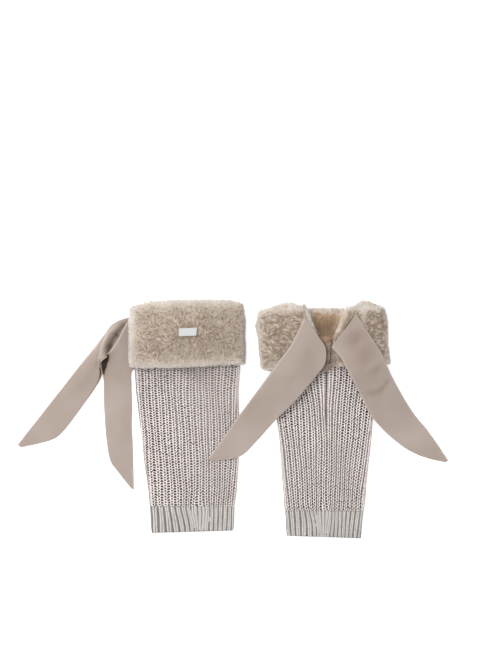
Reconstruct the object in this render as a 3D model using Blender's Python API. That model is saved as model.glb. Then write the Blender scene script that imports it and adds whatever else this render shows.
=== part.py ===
"""A pair of long leg warmers with fur cuffs and ribbon ties, lying flat on a surface.

The left one lies face up, the right one lies back up. Each is a knitted tube with a finer
rib band at its ankle, and a fur cuff: a band with pile on both faces, left open in a slit
at the centre of the back. A ribbon is sewn to each edge of the slit. Lengths are in
millimetres until a mesh is made, x is across the pair, y runs from the ankles to the cuffs,
and z is the height above the surface.
"""

import math

import bmesh
import bpy
import numpy as np
from mathutils import Matrix, Vector
from mathutils.bvhtree import BVHTree

MM = 0.001  # metres in a millimetre
SEAM_GAP = 0.3  # between two pieces that are sewn or laid together

# Knitted tubes, laid flat.
KNIT_WALL = 3.0
KNIT_HEIGHT = 7.5  # two walls and the little air between them
KNIT_CROWN = 0.5  # how much the middle of the upper wall stands above its edges
CUFF_OVERLAP = 6.0  # how far a tube reaches into its cuff
TUBE_FLAT_STEPS = 10  # faces across one flat wall
TUBE_SIDE_STEPS = 5  # faces round one folded side

# Fur cuffs. The hollow takes the end of the tube.
HOLLOW_LOW = 9.3
HOLLOW_HEIGHT = 8.9
FUR_TOP = 26.2  # height of the pile along the edges of the upper wall
FUR_CROWN = 1.6  # how much the middle of the upper wall stands above that
FUR_SIDE = 7.3  # thickness at the folded sides
FUR_RIM = 4.5  # radius of the rounded rims
FUR_LEAST = 1.6  # the thinnest that the rounding leaves the band
RIM_FLARE = 0.25  # how much of the rounding the inner face opens by at the rims
EDGE_THICKNESS = (0.6, 0.9)  # shares of the full thickness at and beside a slit edge
BODY_HEIGHTS = (0.28, 0.5, 0.72)  # where the band has points between its rims

# Ribbons and label.
RIBBON_THICK = 1.0
RIBBON_STEPS = 24  # faces along a ribbon
RIBBON_FACES = 6  # faces across a ribbon
LABEL_SIZE = (26.0, 11.0, 1.0)
LABEL_PLACE = (-59.7, 113.0)
LABEL_TURN = math.radians(2.0)

# Sections of the tubes, from the cuff to the ankle. low is the underside's height, and
# slant is how much further up the right-hand side of the section lies than the left.
LEG_COLUMNS = ("y", "left", "right", "low", "slant")
LEFT_LEG = [
    (66.0 + CUFF_OVERLAP, -130.4, 9.6, 9.7, 3.0),
    (62.0, -131.4, 10.6, 9.4, 4.0),
    (36.0, -129.6, 8.4, 3.6, 2.0),
    (14.0, -127.0, 8.4, 0.0, 0.0),
    (-22.0, -122.6, 8.7, 0.0, 0.0),
    (-60.0, -118.2, 8.4, 0.0, 0.0),
    (-96.0, -113.3, 6.2, 0.0, 0.0),
    (-118.7, -111.3, 3.2, 0.0, 0.0),
]
LEFT_ANKLE = [
    (-118.7 - SEAM_GAP, -111.0, 3.0, 0.0, 0.0),
    (-133.0, -110.0, 2.7, 0.0, 0.5),
    (-148.0, -109.2, 2.3, 0.0, 1.5),
    (-154.6, -108.4, 1.6, 0.0, 3.2),
]
RIGHT_LEG = [
    (66.0 + CUFF_OVERLAP, 53.0, 192.0, 9.7, 0.0),
    (52.0, 53.0, 192.0, 9.6, 0.0),
    (30.0, 55.0, 190.2, 3.8, 0.0),
    (8.0, 57.2, 188.0, 0.0, 0.0),
    (-26.0, 60.6, 185.3, 0.0, 0.0),
    (-58.0, 63.4, 182.0, 0.0, 0.0),
    (-92.0, 66.2, 178.6, 0.0, 0.0),
    (-124.0, 68.7, 175.4, 0.0, -0.6),
]
RIGHT_ANKLE = [
    (-124.0 - SEAM_GAP, 69.0, 175.0, 0.0, -0.6),
    (-138.0, 70.2, 173.5, 0.0, -1.0),
    (-152.0, 70.8, 172.0, 0.0, -2.0),
    (-158.4, 71.4, 171.0, 0.0, -3.4),
]

# Cuffs: the folded sides at each height, the upper and lower rims along x, and the slit.
SIDE_COLUMNS = ("y", "left", "right")
RIM_COLUMNS = ("x", "top", "low")
SLIT_COLUMNS = ("y", "left", "right")
LEFT_CUFF_SIDES = [
    (62.0, -139.0, 18.2),
    (74.0, -139.4, 18.8),
    (84.0, -139.8, 19.2),
    (110.0, -139.6, 18.3),
    (130.0, -139.8, 18.8),
    (147.0, -138.6, 16.6),
    (157.0, -136.0, 13.0),
]
LEFT_CUFF_RIMS = [
    (-139.0, 142.0, 70.0),
    (-133.0, 149.0, 64.5),
    (-122.0, 153.6, 63.2),
    (-83.0, 156.2, 64.0),
    (-43.0, 157.6, 65.6),
    (-4.0, 157.0, 68.0),
    (10.0, 154.4, 68.4),
    (18.0, 146.0, 73.0),
]
LEFT_SLIT = [(60.0, -62.0, -59.0), (160.0, -63.0, -58.0)]
LEFT_CUFF_UNDERSIDE = [(-140.0, 2.9), (-44.0, 2.9), (-20.0, 0.0), (20.0, 0.0)]
RIGHT_CUFF_SIDES = [
    (60.0, 37.6, 207.5),
    (70.0, 33.6, 211.4),
    (80.0, 33.2, 212.0),
    (97.0, 33.8, 207.4),
    (115.0, 28.8, 208.4),
    (128.0, 27.4, 208.6),
    (142.0, 33.5, 205.0),
    (155.0, 42.0, 200.0),
]
RIGHT_CUFF_RIMS = [
    (28.0, 135.0, 72.0),
    (36.0, 143.0, 62.5),
    (48.0, 149.0, 57.5),
    (68.0, 153.4, 57.0),
    (84.0, 154.4, 59.0),
    (97.0, 151.0, 62.0),
    (126.0, 148.6, 65.4),
    (150.0, 148.6, 65.7),
    (159.0, 154.0, 66.0),
    (172.0, 157.0, 66.4),
    (190.0, 154.4, 67.0),
    (203.0, 148.0, 68.2),
    (210.0, 138.0, 73.0),
]
RIGHT_FRONT_RIM = 146.4  # the front's own upper rim, seen in the open slit
RIGHT_SLIT = [
    (60.0, 126.0, 130.0),
    (90.0, 124.0, 129.8),
    (107.0, 113.5, 132.6),
    (118.0, 106.0, 137.0),
    (130.0, 100.3, 141.4),
    (141.0, 98.0, 145.8),
    (158.0, 96.4, 152.4),
]
RIGHT_CUFF_UNDERSIDE = [(20.0, 0.0), (220.0, 0.0)]

# Ribbons: the two long edges from the sewn end to the tip. rise lifts the whole row,
# and arch lifts it into a fold that comes down again at foot, a share of the width.
RIBBON_COLUMNS = ("x1", "y1", "x2", "y2", "rise", "arch", "foot")
LEFT_RIBBON_OUTER = [
    (-50.0, 129.0, -50.0, 92.0, 0.0, 0.0, 0.5),
    (-95.0, 131.5, -95.0, 93.0, 0.0, 0.0, 0.5),
    (-126.0, 133.5, -124.0, 92.0, 0.0, 0.0, 0.5),
    (-141.0, 132.2, -138.0, 89.0, 0.0, 1.0, 0.4),
    (-159.7, 124.3, -149.0, 81.0, 0.0, 8.0, 0.46),
    (-172.1, 108.3, -158.5, 76.5, 0.0, 12.5, 0.52),
    (-185.0, 91.7, -166.0, 75.5, 0.0, 12.0, 1.05),
    (-198.3, 75.7, -175.5, 67.0, 0.0, 8.0, 1.1),
    (-214.0, 55.6, -174.6, 49.0, 0.0, 3.5, 1.1),
    (-240.0, 22.6, -205.0, 7.6, 0.0, 0.8, 1.1),
    (-262.0, -5.4, -228.3, -21.9, 0.0, 0.0, 1.0),
    (-277.0, -24.4, -246.0, -32.4, 0.0, 0.0, 1.0),
    (-287.0, -37.2, -282.0, -41.0, 0.0, 0.0, 1.0),
]
LEFT_RIBBON_HANGING = [
    (-64.0, 131.0, -64.0, 84.0, 1.3, 0.0, 1.0),
    (-100.0, 132.0, -100.0, 79.0, 1.3, 0.0, 1.0),
    (-126.0, 128.5, -116.0, 70.0, 1.3, 0.0, 1.0),
    (-140.0, 124.0, -128.0, 65.0, 1.3, 0.0, 1.0),
    (-153.0, 103.0, -134.0, 61.0, 1.3, 0.0, 1.0),
    (-164.0, 84.0, -135.2, 52.0, 1.3, 0.0, 1.0),
    (-171.4, 57.0, -134.6, 38.0, 0.8, 0.6, 1.2),
    (-172.1, 26.3, -133.8, 18.0, 0.0, 1.2, 1.2),
    (-170.6, -5.0, -134.4, -10.0, 0.0, 1.0, 1.2),
    (-168.5, -30.0, -133.2, -36.0, 0.0, 0.6, 1.2),
    (-163.5, -58.0, -132.4, -64.0, 0.0, 0.0, 1.0),
    (-152.0, -75.0, -131.9, -81.0, 0.0, 0.0, 1.0),
    (-136.0, -95.0, -131.6, -97.6, 0.0, 0.0, 1.0),
]
RIGHT_RIBBON_LEFT = [
    (96.2, 149.0, 98.6, 141.0, 0.0, 0.0, 1.0),
    (95.4, 137.0, 102.0, 124.4, 0.0, 0.0, 1.0),
    (91.6, 124.4, 113.2, 107.8, 0.0, 0.0, 1.0),
    (86.7, 114.0, 123.2, 91.6, 0.0, 0.0, 1.0),
    (76.3, 94.3, 122.6, 71.8, 0.0, 0.0, 1.0),
    (61.0, 74.0, 111.8, 55.7, 0.0, 0.0, 1.0),
    (36.0, 40.0, 86.5, 25.1, 0.0, 0.0, 1.0),
    (11.0, 5.6, 55.8, -5.5, 0.0, 0.0, 1.0),
    (-10.0, -24.0, 32.4, -31.7, 0.0, 0.0, 1.0),
    (-24.0, -43.6, 8.7, -53.0, 0.0, 0.0, 1.0),
    (-33.0, -56.0, -28.0, -58.6, 0.0, 0.0, 1.0),
]
RIGHT_RIBBON_RIGHT = [
    (163.0, 138.6, 131.2, 93.0, 0.0, 0.0, 1.0),
    (179.0, 114.0, 143.9, 77.8, 0.0, 0.0, 1.0),
    (197.4, 85.7, 158.1, 51.0, 0.0, 0.0, 1.0),
    (210.0, 57.6, 171.0, 26.6, 0.0, 0.0, 1.0),
    (226.6, 27.4, 184.7, 0.7, 0.0, 0.0, 1.0),
    (241.6, 4.2, 198.4, -15.6, 0.0, 0.0, 1.0),
    (258.0, -15.6, 213.1, -29.3, 0.0, 0.0, 1.0),
    (271.4, -34.0, 233.0, -44.0, 0.0, 0.0, 1.0),
    (280.6, -47.6, 256.0, -54.4, 0.0, 0.0, 1.0),
    (287.6, -58.0, 283.4, -61.0, 0.0, 0.0, 1.0),
]
ARCH_LEAD = 0.12  # an arch starts this share of the width outside the first edge
LAID_GAP = 0.7  # clearance kept under a ribbon that lies on fur and knit
FOOTPRINT = 8.0  # radius around a point in which a ribbon feels what it lies on
SAG = 0.12  # how far a point of an unsupported ribbon hangs below its neighbours
SETTLING_STEPS = 160

FINISHES = {  # base colour, roughness
    "knit_wool": ((0.47, 0.42, 0.39), 0.9),
    "rib_wool": ((0.49, 0.45, 0.43), 0.9),
    "faux_fur": ((0.45, 0.36, 0.29), 0.95),
    "ribbon_satin": ((0.47, 0.40, 0.37), 0.55),
    "label_tape": ((0.74, 0.77, 0.76), 0.6),
}


def table(names, rows):
    """The rows as one array for each named column."""
    return dict(zip(names, np.array(rows, dtype=float).T))


def at(columns, key, value, name):
    """The named column where the key column has this value, read on straight lines."""
    order = np.argsort(columns[key])
    return float(np.interp(value, columns[key][order], columns[name][order]))


def refine(columns, steps):
    """Each column at evenly spaced steps along a smooth curve through its rows."""
    count = len(next(iter(columns.values())))
    fine = {name: [] for name in columns}
    for step in range(steps + 1):
        place = step / steps * (count - 1)
        start = min(int(place), count - 2)
        share = place - start
        around = [max(start - 1, 0), start, start + 1, min(start + 2, count - 1)]
        for name, values in columns.items():
            before, here, there, after = values[around]
            bend = 2 * before - 5 * here + 4 * there - after
            twist = 3 * (here - there) + after - before
            value = here + 0.5 * share * (there - before + share * (bend + share * twist))
            fine[name].append(value)
    return {name: np.array(values) for name, values in fine.items()}


def finish(name):
    """The named material, made once."""
    material = bpy.data.materials.get(name)
    if material is None:
        colour, roughness = FINISHES[name]
        material = bpy.data.materials.new(name)
        material.use_nodes = True
        shader = material.node_tree.nodes["Principled BSDF"]
        shader.inputs["Base Color"].default_value = (*colour, 1.0)
        shader.inputs["Roughness"].default_value = roughness
    return material


def add_piece(name, rings, faces, finish_name):
    """A named object from rows of points in millimetres, and faces as indices into them."""
    shape = bmesh.new()
    verts = [shape.verts.new(Vector(point) * MM) for ring in rings for point in ring]
    for face in faces:
        shape.faces.new([verts[index] for index in face])
    bmesh.ops.recalc_face_normals(shape, faces=shape.faces)
    mesh = bpy.data.meshes.new(name)
    shape.to_mesh(mesh)
    shape.free()
    mesh.shade_smooth()
    mesh.set_sharp_from_angle(angle=math.radians(50))
    mesh.materials.append(finish(finish_name))
    piece = bpy.data.objects.new(name, mesh)
    bpy.context.scene.collection.objects.link(piece)
    return piece


def flat_ring(row, inset):
    """Points round a flattened tube, on a line that lies inset within its outer face."""
    half = KNIT_HEIGHT / 2
    radius = half - inset
    centre = row["low"] + half
    west, east = row["left"] + half, row["right"] - half
    ring = []
    for step in range(TUBE_FLAT_STEPS):
        ring.append((west + (east - west) * step / TUBE_FLAT_STEPS, centre - radius))
    for step in range(TUBE_SIDE_STEPS):
        angle = math.pi * (step / TUBE_SIDE_STEPS - 0.5)
        ring.append((east + radius * math.cos(angle), centre + radius * math.sin(angle)))
    for step in range(TUBE_FLAT_STEPS):
        ring.append((east + (west - east) * step / TUBE_FLAT_STEPS, centre + radius))
    for step in range(TUBE_SIDE_STEPS):
        angle = math.pi * (step / TUBE_SIDE_STEPS + 0.5)
        ring.append((west + radius * math.cos(angle), centre + radius * math.sin(angle)))
    points = []
    for x, z in ring:
        across = (x - row["left"]) / (row["right"] - row["left"])
        crown = KNIT_CROWN * (1 - (2 * across - 1) ** 2) if z > centre else 0.0
        points.append((x, row["y"] + row["slant"] * across, z + crown))
    return points


def add_tube(name, rows, finish_name):
    """A flattened cloth tube, open at both ends, through its sections."""
    columns = table(LEG_COLUMNS, rows)
    sections = [{key: columns[key][i] for key in columns} for i in range(len(rows))]
    rings = [flat_ring(row, 0.0) for row in sections]
    rings += [flat_ring(row, KNIT_WALL) for row in reversed(sections)]
    count, size = len(rings), len(rings[0])
    faces = []
    for ring in range(count):
        following = (ring + 1) % count
        for index in range(size):
            beside = (index + 1) % size
            faces.append(
                (
                    ring * size + index,
                    ring * size + beside,
                    following * size + beside,
                    following * size + index,
                )
            )
    return add_piece(name, rings, faces, finish_name)


class Cuff:
    """A fur band bent round a flat hollow, with its ends at the two edges of the slit."""

    side_steps = 6
    panel_steps = 14
    half_steps = (0.0, 0.07, 0.22, 0.4, 0.6, 0.8)  # from the slit to a folded side

    def __init__(self, sides, rims, slit, underside, slit_on_top, front_rim):
        self.sides = table(SIDE_COLUMNS, sides)
        self.rims = table(RIM_COLUMNS, rims)
        self.slit = table(SLIT_COLUMNS, slit)
        self.underside = table(("x", "z"), underside)
        self.slit_on_top = slit_on_top
        self.front_rim = front_rim

    def stations(self):
        """Places along the band: its stretch, and how far along that stretch."""
        side = [step / self.side_steps for step in range(self.side_steps)]
        panel = [step / self.panel_steps for step in range(self.panel_steps)]
        back = [1 - share for share in reversed(self.half_steps)]
        places = [("from_slit", share) for share in self.half_steps]
        places += [("right_side", share) for share in side]
        places += [("front", share) for share in panel]
        places += [("left_side", share) for share in side]
        return places + [("to_slit", 0.0)] + [("to_slit", share) for share in back]

    def hollow(self, station, y):
        """A point on the hollow's outline at this y, and the outward normal there."""
        stretch, share = station
        radius = HOLLOW_HEIGHT / 2
        east = at(self.sides, "y", y, "right") - FUR_SIDE - radius
        west = at(self.sides, "y", y, "left") + FUR_SIDE + radius
        if stretch == "from_slit":
            start = at(self.slit, "y", y, "right")
            x, angle = start + (east - start) * share, -0.5 * math.pi
        elif stretch == "right_side":
            x, angle = east, math.pi * (share - 0.5)
        elif stretch == "front":
            x, angle = east + (west - east) * share, 0.5 * math.pi
        elif stretch == "left_side":
            x, angle = west, math.pi * (share + 0.5)
        else:
            end = at(self.slit, "y", y, "left")
            x, angle = west + (end - west) * share, 1.5 * math.pi
        flip = -1 if self.slit_on_top else 1
        normal = (math.cos(angle), flip * math.sin(angle))
        x += radius * normal[0]
        z = HOLLOW_LOW + radius + radius * normal[1]
        return x, z, normal

    def thickness(self, x, y, normal):
        """How far the pile reaches from the hollow, in the direction of the normal."""
        west = at(self.sides, "y", y, "left")
        east = at(self.sides, "y", y, "right")
        across = 2 * (x - west) / (east - west) - 1
        upper = FUR_TOP + FUR_CROWN * (1 - across**2) - HOLLOW_LOW - HOLLOW_HEIGHT
        lower = HOLLOW_LOW - at(self.underside, "x", x, "z")
        panel = upper if normal[1] > 0 else lower
        return FUR_SIDE + (panel - FUR_SIDE) * normal[1] ** 2

    def rim(self, station, x):
        """The lower and the upper rim at this place."""
        top = at(self.rims, "x", x, "top")
        if station[0] == "front":
            top = min(top, self.front_rim)
        return at(self.rims, "x", x, "low"), top

    def ring(self, station, thin):
        """The closed outline of the band's section at one station."""
        middle = 0.5 * (self.sides["y"].min() + self.sides["y"].max())
        x, _, _ = self.hollow(station, middle)
        low, top = self.rim(station, x)
        corner = FUR_RIM * (1 - math.sqrt(0.5))
        rounding = [(0.0, FUR_RIM), (corner, corner), (FUR_RIM, 0.0)]
        height = top - low
        stops = [(low + along, cut) for along, cut in rounding]
        stops += [(low + height * share, 0.0) for share in BODY_HEIGHTS]
        stops += [(top - along, cut) for along, cut in reversed(rounding)]
        outer, inner = [], []
        for y, cut in stops:
            x, z, normal = self.hollow(station, y)
            reach = max(self.thickness(x, y, normal) * thin - cut, FUR_LEAST)
            lift = RIM_FLARE * cut
            outer.append((x + reach * normal[0], y, z + reach * normal[1]))
            inner.append((x + lift * normal[0], y, z + lift * normal[1]))
        return outer + inner[::-1]


def add_cuff(name, cuff, finish_name):
    """The band as a closed solid, its section carried from one slit edge to the other."""
    stations = cuff.stations()
    rings = []
    for index, station in enumerate(stations):
        from_end = min(index, len(stations) - 1 - index)
        thin = EDGE_THICKNESS[from_end] if from_end < len(EDGE_THICKNESS) else 1.0
        rings.append(cuff.ring(station, thin))
    size = len(rings[0])
    faces = []
    for ring in range(len(rings) - 1):
        for index in range(size):
            beside = (index + 1) % size
            faces.append(
                (
                    ring * size + index,
                    ring * size + beside,
                    (ring + 1) * size + beside,
                    (ring + 1) * size + index,
                )
            )
    for ring in (0, len(rings) - 1):
        for index in range(size // 2 - 1):
            corners = (index, index + 1, size - 2 - index, size - 1 - index)
            faces.append(tuple(ring * size + corner for corner in corners))
    return add_piece(name, rings, faces, finish_name)


def surface_below(pieces):
    """A function that gives the height of the highest surface around a point, in mm."""
    trees = []
    for piece in pieces:
        shape = bmesh.new()
        shape.from_mesh(piece.data)
        trees.append(BVHTree.FromBMesh(shape))
        shape.free()
    down = Vector((0.0, 0.0, -1.0))
    offsets = [(0.0, 0.0)]
    for step in range(8):
        angle = math.radians(45 * step)
        offsets.append((FOOTPRINT * math.cos(angle), FOOTPRINT * math.sin(angle)))

    def height(x, y):
        found = 0.0
        for east, north in offsets:
            start = Vector(((x + east) * MM, (y + north) * MM, 1.0))
            for tree in trees:
                hit = tree.ray_cast(start, down)[0]
                if hit is not None:
                    found = max(found, hit.z / MM + LAID_GAP)
        return found

    return height


def settle(heights):
    """The rows of heights after the ribbon has sagged between what holds it up."""
    settled = heights.copy()
    for _ in range(SETTLING_STEPS):
        padded = np.pad(settled, 1, mode="edge")
        along = padded[:-2, 1:-1] + padded[2:, 1:-1]
        across = padded[1:-1, :-2] + padded[1:-1, 2:]
        settled = np.maximum(heights, 0.25 * (along + across) - SAG)
    return settled


def add_ribbon(name, rows, finish_name, lies_on=()):
    """A ribbon between its two edges, in its own folds or laid on the pieces below it."""
    fine = refine(table(RIBBON_COLUMNS, rows), RIBBON_STEPS)
    share = np.linspace(0.0, 1.0, RIBBON_FACES + 1)[None, :]
    across = {key: values[:, None] for key, values in fine.items()}
    x = across["x1"] + (across["x2"] - across["x1"]) * share
    y = across["y1"] + (across["y2"] - across["y1"]) * share
    phase = np.clip((share + ARCH_LEAD) / (across["foot"] + ARCH_LEAD), 0.0, 1.0)
    z = across["rise"] + across["arch"] * np.sin(math.pi * phase)
    z = np.maximum(z, 0.0)
    if lies_on:
        height = surface_below(lies_on)
        below = [[height(*place) for place in zip(*row)] for row in zip(x, y)]
        z = settle(np.maximum(z, np.array(below)))
    rings = [list(zip(*row)) for row in zip(x, y, z)]
    size = RIBBON_FACES + 1
    faces = []
    for ring in range(len(rings) - 1):
        for index in range(RIBBON_FACES):
            first = ring * size + index
            faces.append((first, first + 1, first + size + 1, first + size))
    piece = add_piece(name, rings, faces, finish_name)
    mesh = piece.data
    if sum(face.normal.z for face in mesh.polygons) < 0:
        mesh.flip_normals()
    solidify = piece.modifiers.new("cloth thickness", "SOLIDIFY")
    solidify.thickness = RIBBON_THICK * MM
    solidify.offset = 1.0
    return piece


def add_label(name, cuff, finish_name):
    """A blank woven label lying on the front of a cuff."""
    x, y = LABEL_PLACE
    height = surface_below([cuff])(x, y) - LAID_GAP + SEAM_GAP
    bpy.ops.mesh.primitive_cube_add(size=1.0)
    label = bpy.context.object
    label.name = label.data.name = name
    label.data.transform(Matrix.Diagonal((*[side * MM for side in LABEL_SIZE], 1.0)))
    label.location = (x * MM, y * MM, (height + LABEL_SIZE[2] / 2) * MM)
    label.rotation_euler = (0.0, 0.0, LABEL_TURN)
    label.data.materials.append(finish(finish_name))
    return label


def main():
    for old in list(bpy.data.objects):
        bpy.data.objects.remove(old)

    left_leg = add_tube("left_leg_knit", LEFT_LEG, "knit_wool")
    add_tube("left_ankle_rib", LEFT_ANKLE, "rib_wool")
    right_leg = add_tube("right_leg_knit", RIGHT_LEG, "knit_wool")
    add_tube("right_ankle_rib", RIGHT_ANKLE, "rib_wool")

    left_shape = Cuff(
        LEFT_CUFF_SIDES, LEFT_CUFF_RIMS, LEFT_SLIT, LEFT_CUFF_UNDERSIDE, False, math.inf
    )
    right_shape = Cuff(
        RIGHT_CUFF_SIDES,
        RIGHT_CUFF_RIMS,
        RIGHT_SLIT,
        RIGHT_CUFF_UNDERSIDE,
        True,
        RIGHT_FRONT_RIM,
    )
    left_cuff = add_cuff("left_cuff_fur", left_shape, "faux_fur")
    right_cuff = add_cuff("right_cuff_fur", right_shape, "faux_fur")
    add_label("left_label", left_cuff, "label_tape")

    outer = add_ribbon("left_ribbon_outer", LEFT_RIBBON_OUTER, "ribbon_satin")
    add_ribbon("left_ribbon_hanging", LEFT_RIBBON_HANGING, "ribbon_satin", [outer])
    under = [left_leg, right_leg, right_cuff]
    add_ribbon("right_ribbon_left", RIGHT_RIBBON_LEFT, "ribbon_satin", under)
    add_ribbon("right_ribbon_right", RIGHT_RIBBON_RIGHT, "ribbon_satin", under)


main()
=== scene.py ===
# A pair of knitted leg warmers with plush fur cuffs and ribbon ties, laid flat on a white table.
# Everything is in metres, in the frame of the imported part.
import math
from types import SimpleNamespace

import bpy
import numpy as np
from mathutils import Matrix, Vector, geometry
from mathutils.bvhtree import BVHTree
from mathutils.kdtree import KDTree


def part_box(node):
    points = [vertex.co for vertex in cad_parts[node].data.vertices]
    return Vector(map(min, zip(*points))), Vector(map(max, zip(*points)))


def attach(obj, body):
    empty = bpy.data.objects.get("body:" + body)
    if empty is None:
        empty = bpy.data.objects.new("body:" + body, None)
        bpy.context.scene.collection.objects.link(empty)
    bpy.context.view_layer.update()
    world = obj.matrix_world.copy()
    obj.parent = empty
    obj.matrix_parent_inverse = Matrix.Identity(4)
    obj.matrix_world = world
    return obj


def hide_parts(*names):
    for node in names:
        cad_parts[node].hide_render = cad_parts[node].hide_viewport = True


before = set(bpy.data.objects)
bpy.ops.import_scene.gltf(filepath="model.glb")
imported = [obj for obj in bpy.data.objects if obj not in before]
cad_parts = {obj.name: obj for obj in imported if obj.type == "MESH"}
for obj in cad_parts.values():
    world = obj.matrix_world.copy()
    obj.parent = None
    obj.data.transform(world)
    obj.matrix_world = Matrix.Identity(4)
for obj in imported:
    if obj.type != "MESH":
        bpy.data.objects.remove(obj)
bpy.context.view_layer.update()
mm = 0.001


def deselectAll():
    if bpy.context.mode != "OBJECT":
        bpy.ops.object.mode_set(mode="OBJECT")
    bpy.ops.object.select_all(action="DESELECT")


def pick(piece):
    deselectAll()
    piece.select_set(True)
    bpy.context.view_layer.objects.active = piece


def applyModifier(piece, kind, **settings):
    pick(piece)
    modifier = piece.modifiers.new(kind.lower(), kind)
    for key, value in settings.items():
        setattr(modifier, key, value)
    bpy.ops.object.modifier_apply(modifier=modifier.name)


def meshFromArrays(name, points, faces, material, smooth=True):
    mesh = bpy.data.meshes.new(name)
    mesh.from_pydata(points.tolist(), [], faces if isinstance(faces, list) else faces.tolist())
    mesh.update()
    if smooth:
        mesh.shade_smooth()
    mesh.materials.append(material)
    piece = bpy.data.objects.new(name, mesh)
    bpy.context.scene.collection.objects.link(piece)
    return piece


def putTone(piece, name, values):
    attribute = piece.data.attributes.new(name, "FLOAT", "POINT")
    attribute.data.foreach_set("value", np.ascontiguousarray(values, dtype=np.float32))


def putUv(piece, uvPerVertex):
    mesh = piece.data
    layer = mesh.uv_layers.new(name="UVMap")
    loops = np.zeros(len(mesh.loops), dtype=np.int32)
    mesh.loops.foreach_get("vertex_index", loops)
    layer.data.foreach_set("uv", np.ascontiguousarray(uvPerVertex[loops], dtype=np.float32).ravel())


def meshArrays(mesh):
    points = np.zeros(len(mesh.vertices) * 3)
    mesh.vertices.foreach_get("co", points)
    mesh.calc_loop_triangles()
    corners = np.zeros(len(mesh.loop_triangles) * 3, dtype=np.int32)
    mesh.loop_triangles.foreach_get("vertices", corners)
    return points.reshape(-1, 3), corners.reshape(-1, 3)


def treeOf(*meshes):
    points, corners, offset = [], [], 0
    for mesh in meshes:
        somePoints, someCorners = meshArrays(mesh)
        points.append(somePoints)
        corners.append(someCorners + offset)
        offset += len(somePoints)
    return BVHTree.FromPolygons(np.concatenate(points).tolist(), np.concatenate(corners).tolist())


def sliceSolid(triangles, origin, normal):
    # the points where a plane cuts the edges of a solid's triangles
    heights = (triangles - origin) @ normal
    cuts = []
    for first, second in ((0, 1), (1, 2), (2, 0)):
        a, b = heights[:, first], heights[:, second]
        crossing = (a > 0) != (b > 0)
        share = (a[crossing] / (a[crossing] - b[crossing]))[:, None]
        start, end = triangles[crossing, first], triangles[crossing, second]
        cuts.append(start + (end - start) * share)
    return np.concatenate(cuts)


def unit(vectors):
    return vectors / np.maximum(np.linalg.norm(vectors, axis=-1, keepdims=True), 1e-12)


def smoothStep(low, high, value):
    share = np.clip((np.asarray(value) - low) / (high - low), 0.0, 1.0)
    return share * share * (3 - 2 * share)


def copyMany(name, proto, origins, axes, scales, tones, material):
    # one mesh from many copies of a small shape, each turned to its own axes
    shape, shapeFaces = proto
    local = shape[None, :, :] * scales[:, None, :]
    points = np.einsum("nvi,nij->nvj", local, axes) + origins[:, None, :]
    count, size = len(origins), len(shape)
    steps = np.arange(count) * size
    faces = []
    for length in sorted({len(face) for face in shapeFaces}):
        group = np.array([face for face in shapeFaces if len(face) == length])
        faces += (group[None, :, :] + steps[:, None, None]).reshape(-1, length).tolist()
    piece = meshFromArrays(name, points.reshape(-1, 3), faces, material)
    putTone(piece, "tone", np.repeat(tones, size))
    span = np.maximum(np.ptp(shape, axis=0), 1e-9)
    uv = (shape[:, :2] - shape[:, :2].min(0)) / span[:2]
    putUv(piece, np.tile(uv, (count, 1)))
    return piece


def takeShape(piece):
    # the vertices and faces of a piece modelled once, which is then removed
    points = np.array([vertex.co[:] for vertex in piece.data.vertices])
    faces = [list(face.vertices) for face in piece.data.polygons]
    bpy.data.objects.remove(piece)
    return points, faces


def newMaterial(name, roughness):
    material = bpy.data.materials.new(name)
    material.use_nodes = True
    shader = material.node_tree.nodes["Principled BSDF"]
    shader.inputs["Roughness"].default_value = roughness
    return material, material.node_tree, shader


def toneOf(tree):
    node = tree.nodes.new("ShaderNodeAttribute")
    node.attribute_name = "tone"
    return node.outputs["Fac"]


def placeOn(tree, kind):
    return tree.nodes.new("ShaderNodeTexCoord").outputs[kind]


def noiseOn(tree, place, scale, detail=2.0):
    noise = tree.nodes.new("ShaderNodeTexNoise")
    noise.inputs["Scale"].default_value = scale
    noise.inputs["Detail"].default_value = detail
    tree.links.new(place, noise.inputs["Vector"])
    return noise.outputs["Fac"]


def wavesOn(tree, place, direction, scale, distortion=0.0):
    waves = tree.nodes.new("ShaderNodeTexWave")
    waves.bands_direction = direction
    waves.inputs["Scale"].default_value = scale
    waves.inputs["Distortion"].default_value = distortion
    tree.links.new(place, waves.inputs["Vector"])
    return waves.outputs["Fac"]


def mathOn(tree, operation, *values):
    node = tree.nodes.new("ShaderNodeMath")
    node.operation = operation
    for socket, value in zip(node.inputs, values):
        if isinstance(value, float):
            socket.default_value = value
        else:
            tree.links.new(value, socket)
    return node.outputs["Value"]


def colourBy(tree, shader, source, stops):
    ramp = tree.nodes.new("ShaderNodeValToRGB")
    elements = ramp.color_ramp.elements
    while len(elements) < len(stops):
        elements.new(0.5)
    for element, (place, colour) in zip(elements, stops):
        element.position = place
        element.color = (*colour, 1.0)
    tree.links.new(source, ramp.inputs["Fac"])
    tree.links.new(ramp.outputs["Color"], shader.inputs["Base Color"])


def addBump(tree, shader, source, strength, distance):
    bump = tree.nodes.new("ShaderNodeBump")
    bump.inputs["Strength"].default_value = strength
    bump.inputs["Distance"].default_value = distance
    tree.links.new(source, bump.inputs["Height"])
    tree.links.new(bump.outputs["Normal"], shader.inputs["Normal"])


def addSheen(shader, weight, roughness):
    shader.inputs["Sheen Weight"].default_value = weight
    shader.inputs["Sheen Roughness"].default_value = roughness


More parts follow.
